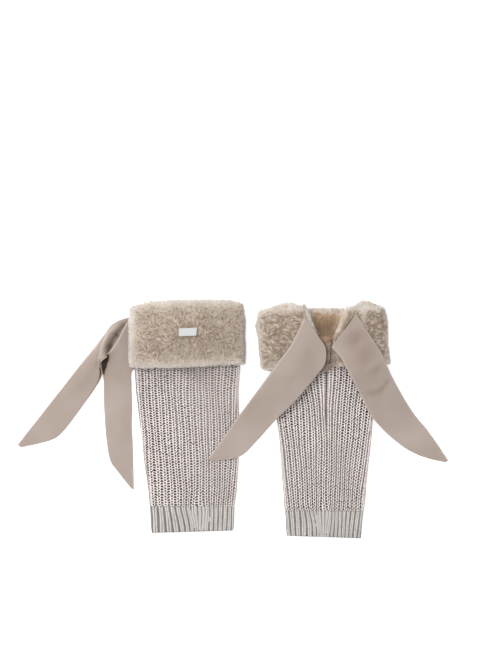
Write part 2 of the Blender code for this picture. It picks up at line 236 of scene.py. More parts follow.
def yarnMaterial(name, deepShade, dark, middle, light):
    # plied wool: colour by stitch, darkest where painted shade lowers the tone, twist along each stitch, and
    # a little fuzz
    material, tree, shader = newMaterial(name, roughness=0.92)
    place = placeOn(tree, "Object")
    fuzz = noiseOn(tree, place, scale=900.0, detail=3.0)
    blotch = noiseOn(tree, place, scale=26.0)
    total = mathOn(tree, "MULTIPLY_ADD", blotch, 0.35, toneOf(tree))
    colourBy(tree, shader, total, [(0.0, deepShade), (0.1, dark), (0.55, middle), (1.0, light)])
    twist = wavesOn(tree, placeOn(tree, "UV"), "DIAGONAL", scale=1.6, distortion=1.5)
    addBump(tree, shader, mathOn(tree, "ADD", twist, fuzz), strength=0.5, distance=0.3 * mm)
    addSheen(shader, weight=0.25, roughness=0.5)
    return material


def groundMaterial(name, dark, light, lightest):
    # the layer seen through the stitches or the pile, dark as painted shade in those hollows, lighter where
    # its tone is set
    material, tree, shader = newMaterial(name, roughness=0.95)
    grain = noiseOn(tree, placeOn(tree, "Object"), scale=420.0, detail=4.0)
    total = mathOn(tree, "MULTIPLY_ADD", grain, 0.7, toneOf(tree))
    colourBy(tree, shader, total, [(0.2, dark), (0.52, light), (1.0, lightest)])
    addBump(tree, shader, grain, strength=0.8, distance=0.6 * mm)
    return material


def furMaterial(name, root, middle, tip):
    # pile: darker at the root, partly painted shade deep in the pile, lighter at the tip, with a soft change
    # from lock to lock
    material, tree, shader = newMaterial(name, roughness=0.85)
    place = placeOn(tree, "Object")
    patch = noiseOn(tree, place, scale=60.0)
    total = mathOn(tree, "MULTIPLY_ADD", patch, 0.3, toneOf(tree))
    colourBy(tree, shader, total, [(0.1, root), (0.6, middle), (1.0, tip)])
    addBump(tree, shader, noiseOn(tree, place, scale=700.0), strength=0.4, distance=0.3 * mm)
    addSheen(shader, weight=0.7, roughness=0.45)
    return material


def ribbonMaterial(name, deepestShade, deepShade, dark, light):
    # matt satin: fine cross ribs, faint lengthwise threads and a soft sheen
    material, tree, shader = newMaterial(name, roughness=0.52)
    cloth = placeOn(tree, "UV")
    cloud = noiseOn(tree, placeOn(tree, "Object"), scale=14.0)
    shaded = mathOn(tree, "MULTIPLY_ADD", cloud, 0.5, toneOf(tree))
    cords = wavesOn(tree, cloth, "DIAGONAL", scale=215.0, distortion=1.2)
    lined = mathOn(tree, "MULTIPLY_ADD", cords, 0.05, shaded)
    # the two darkest stops are reached only where painted shade lines lower the tone
    colourBy(tree, shader, lined, [(0.0, deepestShade), (0.03, deepShade), (0.18, dark), (1.0, light)])
    ribs = wavesOn(tree, cloth, "Y", scale=420.0, distortion=0.6)
    threads = wavesOn(tree, cloth, "X", scale=700.0)
    weave = mathOn(tree, "MULTIPLY_ADD", threads, 0.4, ribs)
    addBump(tree, shader, weave, strength=0.35, distance=0.15 * mm)
    shader.inputs["Specular IOR Level"].default_value = 0.3
    for tint in ("Sheen Tint", "Specular Tint"):
        shader.inputs[tint].default_value = (0.46, 0.39, 0.36, 1.0)
    addSheen(shader, weight=0.3, roughness=0.35)
    return material


def labelMaterial(name):
    # plain woven tape
    material, tree, shader = newMaterial(name, roughness=0.6)
    place = placeOn(tree, "Object")
    warp = wavesOn(tree, place, "X", scale=900.0)
    weft = wavesOn(tree, place, "Y", scale=900.0)
    weave = mathOn(tree, "MULTIPLY", warp, weft)
    colourBy(tree, shader, weave, [(0.0, (0.52, 0.54, 0.53)), (1.0, (0.70, 0.72, 0.71))])
    addBump(tree, shader, weave, strength=0.5, distance=0.1 * mm)
    return material


def tableMaterial(name, glow):
    material, tree, shader = newMaterial(name, roughness=0.9)
    grain = noiseOn(tree, placeOn(tree, "Object"), scale=3.0)
    colourBy(tree, shader, grain, [(0.0, (0.93, 0.93, 0.93)), (1.0, (0.95, 0.95, 0.95))])
    shader.inputs["Specular IOR Level"].default_value = 0.1
    shader.inputs["Emission Color"].default_value = (1.0, 1.0, 1.0, 1.0)
    shader.inputs["Emission Strength"].default_value = glow
    return material


knit = {
    "ribs": 34,
    "firstCourse": 0.1,
    "courses": 55,
    "tallEnd": 1.15,  # a course at the ankle against one at the top
    "skew": 0.03,  # fewer courses on the right, as a share
    "fitWide": 8.3 * mm,  # the rib and the course for which the yarn is as thick as given
    "fitTall": 3.5 * mm,
    "thick": 1.90 * mm,
    "depth": 2.3 * mm,
    "groundSink": 3.0 * mm,  # from the solid's face down to the layer under the stitches
    "uneven": 0.05,  # of a course
    # a leg of a stitch: share of a rib's width aside, courses up, sink and share of full thickness
    "leg": [
        (0.00, -0.12, 1.22 * mm, 0.88),
        (0.14, -0.10, 1.00 * mm, 0.95),
        (0.205, 0.20, 0.92 * mm, 1.00),
        (0.265, 0.58, 1.00 * mm, 0.98),
        (0.48, 0.64, 1.90 * mm, 0.72),
    ],
    "patched": False,  # whether a smooth patch lies on it
    "tone": 0.49,
}
rightKnit = dict(knit, courses=53, skew=0.05, tone=0.70, leg=[
    (0.00, -0.12, 1.26 * mm, 0.80),
    (0.14, -0.10, 1.00 * mm, 0.92),
    (0.205, 0.20, 0.92 * mm, 1.00),
    (0.265, 0.58, 1.00 * mm, 0.98),
    (0.48, 0.64, 1.95 * mm, 0.64),
])
band = {
    "ribs": 34,
    "firstCourse": 0.5,
    "courses": 12,
    "tallEnd": 1.0,
    "skew": 0.0,
    "fitWide": 7.0 * mm,
    "fitTall": 2.7 * mm,
    "thick": 1.75 * mm,
    "depth": 1.9 * mm,
    "groundSink": 1.5 * mm,
    "uneven": 0.07,
    "leg": [
        (0.05, -0.80, 1.50 * mm, 0.50),
        (0.12, -0.50, 1.10 * mm, 0.95),
        (0.18, 0.00, 1.00 * mm, 1.00),
        (0.24, 0.50, 1.10 * mm, 0.95),
        (0.30, 0.80, 1.50 * mm, 0.50),
    ],
    "patched": True,
    "tone": 0.50,
}
leftBand = dict(band, thick=1.85 * mm)
rodSides = 5
stitch = {
    # as shares of a rib or a course, unless they are lengths
    "start": 0.12,  # how unevenly the ribs start
    "sizes": (0.93, 1.07),
    "fill": (0.05, 0.4),  # how much of the smooth patch's valleys is filled
    "chain": (0.45, 0.55),  # where the chain in the back seam starts, and how far it goes
    "chainWide": 0.32,
    "chainSink": 0.9 * mm,
    "fit": (0.9, 0.35, -0.25),  # how thick the yarn is by the rib's width and the course's height
    "fitTop": 0.07,  # how much thinner it is at the top
    "fitRange": (0.55, 1.12),
    "leastHeight": 0.05 * mm,  # the lowest stitches are pressed flat on the table
}
stitchTones = {
    "spread": 0.07,
    "patch": -0.12,
    # painted shadow below the cuff's edge
    "cuffShadow": -0.32,
    # painted shade where the flat tube turns down at its sides
    "sideShade": -0.95,
    "chain": -0.12,
    "least": -0.07,
}
drape = {
    # how far the ribs crowd towards the back, and to one side, by the ankle
    "gather": {False: 2.4 * mm, True: 4.6 * mm},
    "turn": {False: 5.8 * mm, True: 1.5 * mm},
    "gatherFrom": 60 * mm,
    "gatherTo": -110 * mm,
    "wobble": 0.4 * mm,
    "swings": ((64, 5, 0), (27, 3, 1)),  # of the wobble: pace along, turns round, and phase
    "seamGap": 0.8 * mm,
    "seamReach": 18,  # over how little of the girth the seam pulls its ribs apart
    "seamAside": 2.0 * mm,  # the back seam lies this far off the middle
    "fan": 9.0 * mm,  # how far the ribs beside the seam are pulled apart under the open slit
    "fanFrom": 8 * mm,
    "fanTo": 64 * mm,
    "fanSides": ((1.15, 20), (0.55, 30)),  # its share and its sharpness, on each side of the seam
    # where the ankle rib lies smooth and its ribs bow apart: x, y, half sizes and push, in millimetres
    "patch": {False: (-44.5, -132, 12, 17, 4.0), True: (120.5, -139, 8.5, 19, 4.0)},
    "lean": 5.0 * mm,  # the ribs left of it lean under it by the ankle's end
    "leanFrom": -108 * mm,
    "leanTo": -150 * mm,
    "upperFace": 4 * mm,  # above this is the tube's upper face
    "samples": 480,  # points read round a section
}


def endLine(points, top):
    # the slanted line of a tube's end, as its y at x = 0 and its slope
    edge = points[:, 1].max() if top else points[:, 1].min()
    near = points[np.abs(points[:, 1] - edge) < 4 * mm]
    slope, start = np.polyfit(near[:, 0], near[:, 1], 1)
    return start, slope


def readTube(node, rows, tallEnd):
    # the outline of a flat tube at many levels, each read from the middle of its lower face
    points, corners = meshArrays(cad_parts[node].data)
    triangles = points[corners]
    low, high = endLine(points, False), endLine(points, True)
    fineSteps = 4000
    levels, rounds = [], []
    for row in range(rows + 1):
        share = row / rows
        share = (tallEnd * share - 0.5 * (tallEnd - 1) * share * share) / (0.5 * (tallEnd + 1))
        share = np.clip(share, 0.002, 0.998)  # just inside the tube's ends
        start = low[0] + (high[0] - low[0]) * share
        slope = low[1] + (high[1] - low[1]) * share
        cut = sliceSolid(triangles, np.array([0.0, start, 0.0]), unit(np.array([-slope, 1.0, 0.0])))
        flat = [Vector((x, z)) for x, _, z in cut]
        outline = np.array([flat[i][:] for i in geometry.convex_hull_2d(flat)])
        after = np.roll(outline, -1, axis=0)
        if np.sum(outline[:, 0] * after[:, 1] - after[:, 0] * outline[:, 1]) > 0:
            outline = outline[::-1]
        centre = 0.5 * (outline[:, 0].min() + outline[:, 0].max())
        closed = np.vstack([outline, outline[:1]])
        along = np.concatenate([[0.0], np.cumsum(np.linalg.norm(np.diff(closed, axis=0), axis=1))])
        fine = np.linspace(0.0, along[-1], fineSteps + 1)[:-1]
        x, z = np.interp(fine, along, closed[:, 0]), np.interp(fine, along, closed[:, 1])
        lower = np.flatnonzero(z < z.mean())
        first = lower[np.argmin(np.abs(x[lower] - centre))]
        wanted = (first + np.arange(drape["samples"]) * fineSteps / drape["samples"]) % fineSteps
        xs, zs = np.interp(wanted, np.arange(fineSteps), x), np.interp(wanted, np.arange(fineSteps), z)
        levels.append(np.stack([xs, start + slope * xs, zs], axis=1))
        rounds.append(along[-1])
    levels = np.array(levels)
    return {
        "points": levels,
        "round": np.array(rounds),
        "rows": rows,
        "centre": levels.mean(axis=1),
        "half": 0.5 * np.ptp(levels[:, :, 0], axis=1),
    }


def onTube(tube, level, share):
    # the point at a level and a share of the way round, between the points of the table
    grid = tube["points"]
    count = grid.shape[1]
    level = np.clip(level, 0, tube["rows"] - 0.0001)
    place = (share % 1.0) * count
    row, column = np.floor(level).astype(int), np.floor(place).astype(int) % count
    up, across = (level - row)[..., None], (place - np.floor(place))[..., None]
    beside = (column + 1) % count
    lower = grid[row, column] * (1 - across) + grid[row, beside] * across
    upper = grid[row + 1, column] * (1 - across) + grid[row + 1, beside] * across
    return lower * (1 - up) + upper * up


def ribPlace(tube, level, share, phases, seamUp):
    # where a rib lies round the tube: crowded at the back by the ankle, and never quite straight
    turn = 2 * math.pi * share
    around = np.interp(level, np.arange(tube["rows"] + 1), tube["round"])
    place = onTube(tube, level, share)
    y = place[..., 1]
    gather = smoothStep(drape["gatherFrom"], drape["gatherTo"], y)
    shift = gather * drape["gather"][seamUp] * np.sin(turn) * (1 if seamUp else -1)
    shift = shift - gather * drape["turn"][seamUp] * (1 + np.cos(turn))
    for pace, turns, phase in drape["swings"]:
        shift = shift + drape["wobble"] * np.sin(y * pace + turns * turn + phases[phase])
    ripple = 0.6 * drape["wobble"] * np.sin(y * 130 + 11 * turn + phases[0])
    shift = shift + ripple * np.sin(17 * turn + y * 40)
    seam = share - 0.5 if seamUp else (share % 1.0 + 0.5) % 1.0 - 0.5
    opening = drape["seamGap"] * smoothStep(-50 * mm, 0.0, y)
    shift = shift + np.sign(seam) * opening * np.exp(-np.abs(seam) * drape["seamReach"])
    if seamUp:
        before, after = drape["fanSides"]
        fan = drape["fan"] * smoothStep(drape["fanFrom"], drape["fanTo"], y)
        fan = fan * np.where(seam > 0, after[0], before[0])
        pull = np.tanh(np.where(seam > 0, after[1], before[1]) * seam)
        shift = shift + pull * fan * np.exp(-np.abs(seam) * 6) + drape["seamAside"]
    patchX, patchY, wide, tall, push = drape["patch"][seamUp]
    aside, up = ((place[..., 0] + shift) / mm - patchX) / wide, (y / mm - patchY - 8) / tall
    bow = push * mm * np.tanh(2 * aside) * np.exp(-0.5 * aside ** 2 - up ** 2)
    lean = drape["lean"] * smoothStep(drape["leanFrom"], drape["leanTo"], y)
    lean = lean * np.exp(-((aside + 2) / 1.8) ** 2)
    return share + (shift + (bow + lean) * (place[..., 2] > drape["upperFace"])) / around


def tubePoint(tube, level, share, phases, seamUp):
    return onTube(tube, level, ribPlace(tube, level, share, phases, seamUp))


def patchShare(places, seamUp):
    # one in the middle of the smooth patch of the ankle rib, on its upper face only
    x, y, wide, tall, _ = drape["patch"][seamUp]
    aside, up = (places[:, 0] / mm - x) / wide, (places[:, 1] / mm - y) / tall
    return np.exp(-(aside ** 2 + up ** 2) ** 2) * (places[:, 2] > drape["upperFace"])


def placeStitches(tube, sizes, phases, random, seamUp):
    # for each stitch its level, its rib, how tall its course is, and how narrow it is drawn
    rows, pitch = tube["rows"], 1.0 / sizes["ribs"]
    levels, shares, steps = [], [], []
    for rib in (np.arange(sizes["ribs"]) + 0.5) * pitch:
        middle = onTube(tube, np.array([rows / 2]), np.array([rib]))[0]
        aside = (middle[0] - tube["centre"][rows // 2, 0]) / tube["half"][rows // 2]
        count = round(sizes["courses"] * (1 - sizes["skew"] * aside))
        start = sizes["firstCourse"]
        course = np.arange(count) + start + random.uniform(-stitch["start"], stitch["start"])
        levels.append(course * rows / count)
        shares.append(np.full(count, rib))
        steps.append(np.full(count, rows / count))
    level, share, step = np.concatenate(levels), np.concatenate(shares), np.concatenate(steps)
    if sizes["patched"]:
        # more stitches fill the valleys of the smooth patch
        valley = tubePoint(tube, level, share + 0.5 * pitch, phases, seamUp)
        more = patchShare(valley, seamUp) > random.uniform(*stitch["fill"], len(share))
        level, step = np.append(level, level[more]), np.append(step, step[more])
        share = np.append(share, share[more] + 0.5 * pitch)
    narrow = np.ones(len(share))
    if seamUp and not sizes["patched"]:
        # a narrow chain of stitches shows in the open seam
        first, reach = stitch["chain"]
        chain = (np.arange(round(reach * rows)) + first * rows) + 0.5
        level, step = np.append(level, chain), np.append(step, np.ones(len(chain)))
        share = np.append(share, np.full(len(chain), 0.5))
        narrow = np.append(narrow, np.full(len(chain), stitch["chainWide"]))
    return level, share, step, narrow


def stitchLines(tube, sizes, level, share, step, narrow, side, phases, seamUp):
    # the middle line of each leg of a stitch, which way is out, and how thick the yarn is
    rows, pitch = tube["rows"], 1.0 / sizes["ribs"]
    byWidth, byHeight, fitBase = stitch["fit"]
    lines, outs, fits = [], [], []
    for aside, up, sink, _ in sizes["leg"]:
        here = np.clip(level + up * step, 0, rows)
        place = share + side * aside * pitch * narrow
        point = tubePoint(tube, here, place, phases, seamUp)
        across = tubePoint(tube, here, place + 0.1 * pitch, phases, seamUp)
        across = across - tubePoint(tube, here, place - 0.1 * pitch, phases, seamUp)
        along = tubePoint(tube, np.clip(here + 0.4, 0, rows), place, phases, seamUp)
        along = along - tubePoint(tube, np.clip(here - 0.4, 0, rows), place, phases, seamUp)
        wide = np.linalg.norm(across, axis=1) / 0.2
        tall = np.linalg.norm(along, axis=1) / 0.8 * step
        fit = byWidth * wide / sizes["fitWide"] + byHeight * tall / sizes["fitTall"] + fitBase
        fit = fit - stitch["fitTop"] * smoothStep(-30 * mm, 60 * mm, point[:, 1])
        fits.append(np.clip(fit, *stitch["fitRange"]))
        outward = unit(np.cross(along, across))
        away = point - tube["centre"][np.clip(np.round(here).astype(int), 0, rows)]
        away[:, 0] *= 0.02  # on a flat tube, out is up or down but for its very sides
        outward = outward * np.sign(np.mean(np.sum(outward * away, axis=1)))
        lines.append(point - outward * (sink + (narrow < 1) * stitch["chainSink"])[:, None])
        outs.append(outward)
    return np.array(lines), np.array(outs), np.array(fits)


def rodFaces(stops, count):
    # the faces of many short closed rods, each of so many rings of points
    total = stops * rodSides
    walls = []
    for stop in range(stops - 1):
        for corner in range(rodSides):
            beside = (corner + 1) % rodSides
            first, second = stop * rodSides, (stop + 1) * rodSides
            walls.append([first + beside, first + corner, second + corner, second + beside])
    caps = [list(range(rodSides)), list(range(total - 1, total - rodSides - 1, -1))]
    starts = np.arange(count)[:, None, None] * total
    faces = (np.array(walls) + starts).reshape(-1, 4).tolist()
    return faces + (np.array(caps) + starts).reshape(-1, rodSides).tolist()


def knitStitches(name, tube, sizes, material, seed, seamUp):
    # two bent legs for each course of each rib, each a short rod from the rib's middle to the valley
    random = np.random.default_rng(seed)
    phases = random.uniform(0, 6.28, 2)
    level, share, step, narrow = placeStitches(tube, sizes, phases, random, seamUp)
    narrow = np.tile(narrow, 2)
    uneven = random.normal(0, sizes["uneven"], 2 * len(level))
    level = np.tile(level, 2) + uneven * np.tile(step, 2)
    share, step = np.tile(share, 2), np.tile(step, 2)
    side = np.repeat([-1.0, 1.0], len(share) // 2)
    size = random.uniform(*stitch["sizes"], len(share))
    lines, outs, fits = stitchLines(tube, sizes, level, share, step, narrow, side, phases, seamUp)
    heading = unit(np.gradient(lines, axis=0))
    aside = unit(np.cross(heading, outs))
    upward = unit(np.cross(aside, heading))
    thick = np.array([part for *_, part in sizes["leg"]])[:, None] * size * fits * narrow ** 0.5
    corner = 2 * math.pi * (np.arange(rodSides) + 0.25) / rodSides
    ring = aside[:, :, None] * np.cos(corner)[:, None] * 0.5 * sizes["thick"]
    ring = ring + upward[:, :, None] * np.sin(corner)[:, None] * 0.5 * sizes["depth"]
    points = lines[:, :, None] + ring * thick[:, :, None, None]
    points = points.transpose(1, 0, 2, 3)
    points[..., 2] = np.maximum(points[..., 2], stitch["leastHeight"])
    stops, count = len(sizes["leg"]), len(share)
    piece = meshFromArrays(name, points.reshape(-1, 3), rodFaces(stops, count), material)
    fixNormals(piece)
    flat = patchShare(lines[2], seamUp) if sizes["patched"] else np.zeros(count)
    facing = smoothStep(0.25, 0.98, np.abs(outs[2][:, 2]))
    tones = sizes["tone"] + random.normal(0, stitchTones["spread"], count) + stitchTones["patch"] * flat
    # painted shadow below the cuff, then painted shade on the sides of the flat tube
    tones = tones + stitchTones["cuffShadow"] * smoothStep(25 * mm, 66 * mm, lines[2][:, 1])
    tones = tones + stitchTones["sideShade"] * (1 - facing)
    tones = np.where(narrow < 1, stitchTones["chain"], np.maximum(tones, stitchTones["least"]))
    putTone(piece, "tone", np.repeat(tones, stops * rodSides))
    around, along = np.meshgrid(np.arange(rodSides) / rodSides, np.arange(stops) / (stops - 1))
    putUv(piece, np.tile(np.stack([around.ravel(), along.ravel()], axis=1), (count, 1)))
    return piece


underLayer = {"around": 112, "thick": 0.8 * mm}


def knitGround(name, tube, sink, material):
    # a closed thin tube just under the stitches, open at both ends, dark as the painted shade in the holes
    around, rows = underLayer["around"], max(4, tube["rows"] // 2)
    share = np.arange(around) / around
    layers = []
    for depth in (sink, sink + underLayer["thick"]):
        rings = []
        for row in range(rows + 1):
            ring = onTube(tube, np.full(around, row * tube["rows"] / rows), share)
            centre = 0.5 * (ring.max(0) + ring.min(0))
            half = 0.5 * (ring.max(0) - ring.min(0))
            fromSide = (half[0] - np.abs(ring[:, 0] - centre[0])) / half[2]
            inward = np.zeros_like(ring)
            inward[:, 0] = np.sign(ring[:, 0] - centre[0]) * np.clip(1 - fromSide, 0, 1)
            inward[:, 2] = (ring[:, 2] - centre[2]) / half[2]
            rings.append(ring - unit(inward) * depth)
        layers.append(np.array(rings))
    outer, inner = layers
    rings = np.concatenate([outer, inner[::-1]])
    faces = []
    for ring in range(len(rings)):
        after = (ring + 1) % len(rings)
        for step in range(around):
            beside = (step + 1) % around
            corners = [(ring, step), (ring, beside), (after, beside), (after, step)]
            faces.append([line * around + place for line, place in corners])
    piece = meshFromArrays(name, rings.reshape(-1, 3), faces, material)
    fixNormals(piece)
    putTone(piece, "tone", np.zeros(len(piece.data.vertices)))
    return piece


def fixNormals(piece):
    pick(piece)
    bpy.ops.object.mode_set(mode="EDIT")
    bpy.ops.mesh.select_all(action="SELECT")
    bpy.ops.mesh.normals_make_consistent(inside=False)
    bpy.ops.object.mode_set(mode="OBJECT")


def makeKnit(node, name, sizes, seed, seamUp, yarn, under):
    tube = readTube(node, sizes["courses"], sizes["tallEnd"])
    base = knitGround(name + "Ground", tube, sizes["groundSink"], under)
    stitches = knitStitches(name + "Stitches", tube, sizes, yarn, seed, seamUp)
    for piece in (base, stitches):
        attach(piece, "root")
    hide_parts(node)
    print(name, len(stitches.data.polygons))


fur = {
    "voxel": 2.4 * mm,
    "inset": 2.2 * mm,  # from the solid's face down to the backing
    "hairs": 52000,
    "length": 5.4 * mm,
    "sideLength": 5.0 * mm,  # at the rims and side folds, where the pile lies along the edge
    "innerLength": 3.6 * mm,
    "width": 1.05 * mm,
    "thick": 0.6 * mm,
    "lockSize": {"left": 2.7 * mm, "right": 3.6 * mm},
    "upright": 0.46,  # against 1 for the lean
    "sideUpright": 0.2,
    "gather": 0.32,  # how far the hairs of a lock draw together
    "edgeReach": {"left": 9.0 * mm, "right": 6.0 * mm},  # how far in the smooth outline with painted light reaches
    "edgeFade": 1.6,  # and how sharply it ends
    "paintedLightSide": (-0.8, 0.1, 0.0),  # the side where the painted light is strongest, towards the lamp
    "rimReach": 4 * mm,
    "reach": (0.5 * mm, 1.6 * mm),  # how far tips may stand out of the solid: at its sides and on its faces
    "middleHeight": 13.7 * mm,  # between the cuff's two layers
    "innerTop": 139.5 * mm,  # above this the far layer's rim turns to the light
    "faceTilt": 0.35,  # how level a face is that counts as the cuff's inside or underside
    "wallTilt": 0.3,  # and how level at most one of its outline is
    "underShare": 0.35,  # of the hairs stand on the hidden underside
    "underLength": 0.6,
    "rimShorter": 0.35,
    "lockTurn": 0.55,  # how far the locks turn out of the flow
    "stray": 0.19,  # and the hairs out of their lock
    "slitFall": (0, -2.5, 0),  # the pile hangs at the bottom of the open slit
    "rimRoll": (0, 0.6, -0.6),  # and rolls over the rims
    "innerLie": (0.15, 1.0, 0.0),  # the way of the pile on the inner faces
    "leans": (0.75, 1.1),  # the least and the most, as shares
    "lengths": (0.75, 1.15),
    "widths": (0.7, 1.25),
    "leastKept": 0.35,  # of a hair's length where it is trimmed
}
# Lines on the cuffs, in millimetres. A rim is smooth and light, and a dip is short pile with painted shade
# along it:
# half its width, and the shares by which it shortens and takes painted shade.
cuffLines = {
    "left": {
        "rims": [],
        "dips": [([(-72, 119), (-47, 119.5), (-47, 107), (-72, 107), (-72, 119)], 2.2, 0.6, 0.12)],
    },
    "right": {
        "rims": [
            [(95, 152), (97, 138), (100, 126), (108, 112)],
            [(99, 150), (103, 130), (111, 111)],
            [(130, 93), (131, 102), (136.5, 118), (145, 141), (150, 152)],
            [(134, 99), (141, 116), (150, 138)],
            [(174, 148), (173, 126)],
            [(158, 154), (180, 156), (202, 150), (210, 138)],
        ],
        "dips": [
            ([(160, 139), (155, 132), (148, 122), (139, 109)], 2.2, 0.4, 0.0),
            ([(161.5, 140), (156.5, 133), (149.5, 123), (141, 111)], 1.0, 0.5, 1.0),
            ([(141, 111), (131, 96)], 1.0, 0.5, 0.25),
            ([(165, 140), (172, 127), (180, 115)], 1.0, 0.5, 0.15),
            ([(181, 138), (180, 127), (182, 118)], 1.6, 0.6, 0.3),
        ],
    },
}
# The pile round the bottom of the open slit, darkened with painted shade, and the loose tufts
# that close over it: middle, half size and length in millimetres.
slitPile = {"x": 124 * mm, "y": 77 * mm, "wide": 15 * mm, "tall": 18 * mm, "paintedShade": 0.42}
slitTufts = {
    "left": [],
    "right": [
        {"at": (121.5, 70, 20), "half": (5.5, 4, 1.5), "slant": 0.0, "hairs": 420, "length": 9.5,
         "lean": (0.05, -1.0, -0.12), "tone": -0.12, "inner": False},
        {"at": (124.5, 88, 20), "half": (4, 11, 2), "slant": 0.0, "hairs": 520, "length": 8,
         "lean": (0.1, -1.0, 0.05), "tone": 0.02, "inner": False},
        {"at": (123, 99, 15), "half": (8, 4, 2), "slant": 0.0, "hairs": 420, "length": 6.5,
         "lean": (0.1, 1.0, 0.3), "tone": 0.26, "inner": True},
        {"at": (101.5, 130, 23), "half": (1.6, 20, 1.3), "slant": -0.36, "hairs": 1000, "length": 5.0,
         "lean": (0.5, -1.0, 0.0), "tone": 0.66, "inner": False},
    ],
}
pileTones = {
    "base": 0.30,
    "lockSpread": 0.09,  # from lock to lock
    "hairSpread": 0.05,  # and from hair to hair
    "curly": {"left": 1.0, "right": 1.8},  # how strongly the locks stand apart
    "lockShade": 0.26,  # painted shade between curly locks
    "innerSpread": 0.2,  # the inner face is even
    "smoothSpread": 0.85,  # and so are the outline and the rims, by this share
    "rim": 0.2,
    # painted light along the outline, partly the pile's lighter tips seen end-on
    "edge": 0.55,
    "edgeFacing": (0.5, 0.08),  # painted shade on the outline facing away from the lamp, and painted light towards it
    "innerRibs": 0.06,  # fine upright lines
    "darkHair": 0.27,
    "darkShare": 0.1,
    # painted light where the far layer's rim turns to the lamp
    "innerTop": 0.55,
    "innerTopReach": 13 * mm,
    "innerShade": 0.34,  # painted shade on the far layer's middle, seen in the open slit
    "innerShadeAt": 116 * mm,
    "innerShadeReach": 12 * mm,
    "slitEdgeLight": 0.5,  # painted light on the turned edge at the left of the open slit, where the left lobe casts its shade
    "slitEdgeAt": [(99, 152), (103, 130), (112, 109)],
    "slitEdgeReach": 3.5 * mm,
    "rightBody": 0.12,  # the right cuff is darker between its edges
    "tuftSpread": 0.12,
    "tuftWave": 0.18,  # from lock to lock in the loose tufts
    "contrast": 0.5,  # from a hair's root to its tip, partly painted shade deep in the pile
    "curlyContrast": 0.12,
    "innerContrast": 0.14,
    "backing": 0.6,  # the cloth under the lighter pile is lighter too: painted light under the outline, the rims' own light colour under them
}


def makeHair():
    # one tapered tuft of pile: a three-sided spike, one unit long and wide, with its ridge along +Y
    deselectAll()
    bpy.ops.mesh.primitive_cone_add(vertices=3, radius1=0.577, radius2=0.0, depth=1.0, location=(0, 0, 0.5))
    spike = bpy.context.object
    bpy.ops.object.transform_apply(location=True)
    ridge = max(spike.data.vertices, key=lambda vertex: abs(vertex.co.y) if vertex.co.z < 0.5 else 0)
    if ridge.co.y < 0:
        bpy.ops.transform.rotate(value=math.pi, orient_axis="Z", center_override=(0, 0, 0))
        bpy.ops.object.transform_apply(rotation=True)
    return takeShape(spike)


def samplePoints(points, corners, count, random):
    # points spread evenly over a surface, and which way it faces there
    a, b, c = points[corners[:, 0]], points[corners[:, 1]], points[corners[:, 2]]
    cross = np.cross(b - a, c - a)
    area = 0.5 * np.linalg.norm(cross, axis=1)
    chosen = random.choice(len(corners), size=count, p=area / area.sum())
    first, second = random.random(count), random.random(count)
    swap = first + second > 1
    first[swap], second[swap] = 1 - first[swap], 1 - second[swap]
    place = a[chosen] + (b - a)[chosen] * first[:, None] + (c - a)[chosen] * second[:, None]
    return place, unit(cross[chosen])


def nearestOf(points, centres):
    tree = KDTree(len(centres))
    for index, centre in enumerate(centres):
        tree.insert(centre, index)
    tree.balance()
    return np.array([tree.find(point)[1] for point in points])


def gapTo(places, route):
    # how far each place is, seen from above, from a line through the route's points
    best = np.full(len(places), 1.0)
    for start, end in zip(route[:-1], route[1:]):
        begin, run = np.array(start) * mm, np.subtract(end, start) * mm
        share = np.clip((places[:, :2] - begin) @ run / (run @ run), 0, 1)
        gaps = np.linalg.norm(places[:, :2] - begin - share[:, None] * run, axis=1)
        best = np.minimum(best, gaps)
    return best


def slitShare(places, side):
    # one in the middle of the open slit's pile with painted shade, falling to nothing round it
    if side == "left":
        return np.zeros(len(places))
    aside = (places[:, 0] - slitPile["x"]) / slitPile["wide"]
    up = (places[:, 1] - slitPile["y"]) / slitPile["tall"]
    return np.exp(-aside ** 2 - up ** 2)


def rimShare(places, side):
    rims = [gapTo(places, route) for route in cuffLines[side]["rims"]]
    return np.exp(-(np.min(rims, axis=0) / fur["rimReach"]) ** 2) if rims else np.zeros(len(places))


def edgeShare(places, walls, side):
    # the nearest point of the outline to each place, and one at the outline, falling inwards
    nearest = nearestOf(places * (1, 1, 0), walls * (1, 1, 0))
    away = np.linalg.norm((places - walls[nearest])[:, :2], axis=1) / fur["edgeReach"][side]
    return nearest, np.exp(-away ** fur["edgeFade"])


def pileFlow(places, low, high):
    # the pile falls away from the middle of the cuff, in slow swirls, and down at the edges
    x, y = places[:, 0], places[:, 1]
    aside = (x - 0.5 * (low.x + high.x)) / (high.x - low.x)
    up = (y - 0.5 * (low.y + high.y)) / (high.y - low.y)
    angle = np.arctan2(up, aside)
    angle = angle + 0.7 * np.sin(190 * x + 80 * y + 0.6) + 0.6 * np.sin(230 * y - 120 * x + 2.1)
    return np.stack([np.cos(angle), np.sin(angle), np.full(len(x), -0.8)], axis=1)


def makeBacking(node, name, material):
    # the cloth that carries the pile: the solid drawn in by the depth of the fur
    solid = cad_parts[node]
    body = solid.copy()
    body.data = solid.data.copy()
    body.name = body.data.name = name
    for key in list(body.keys()):
        del body[key]
    body.parent = None
    bpy.context.scene.collection.objects.link(body)
    applyModifier(body, "WELD", merge_threshold=0.01 * mm)
    applyModifier(body, "REMESH", mode="VOXEL", voxel_size=fur["voxel"])
    applyModifier(body, "SMOOTH", factor=0.5, iterations=4)
    applyModifier(body, "DISPLACE", strength=-fur["inset"], mid_level=0.0)
    applyModifier(body, "SMOOTH", factor=0.5, iterations=2)
    body.data.shade_smooth()
    body.data.materials.clear()
    body.data.materials.append(material)
    return body


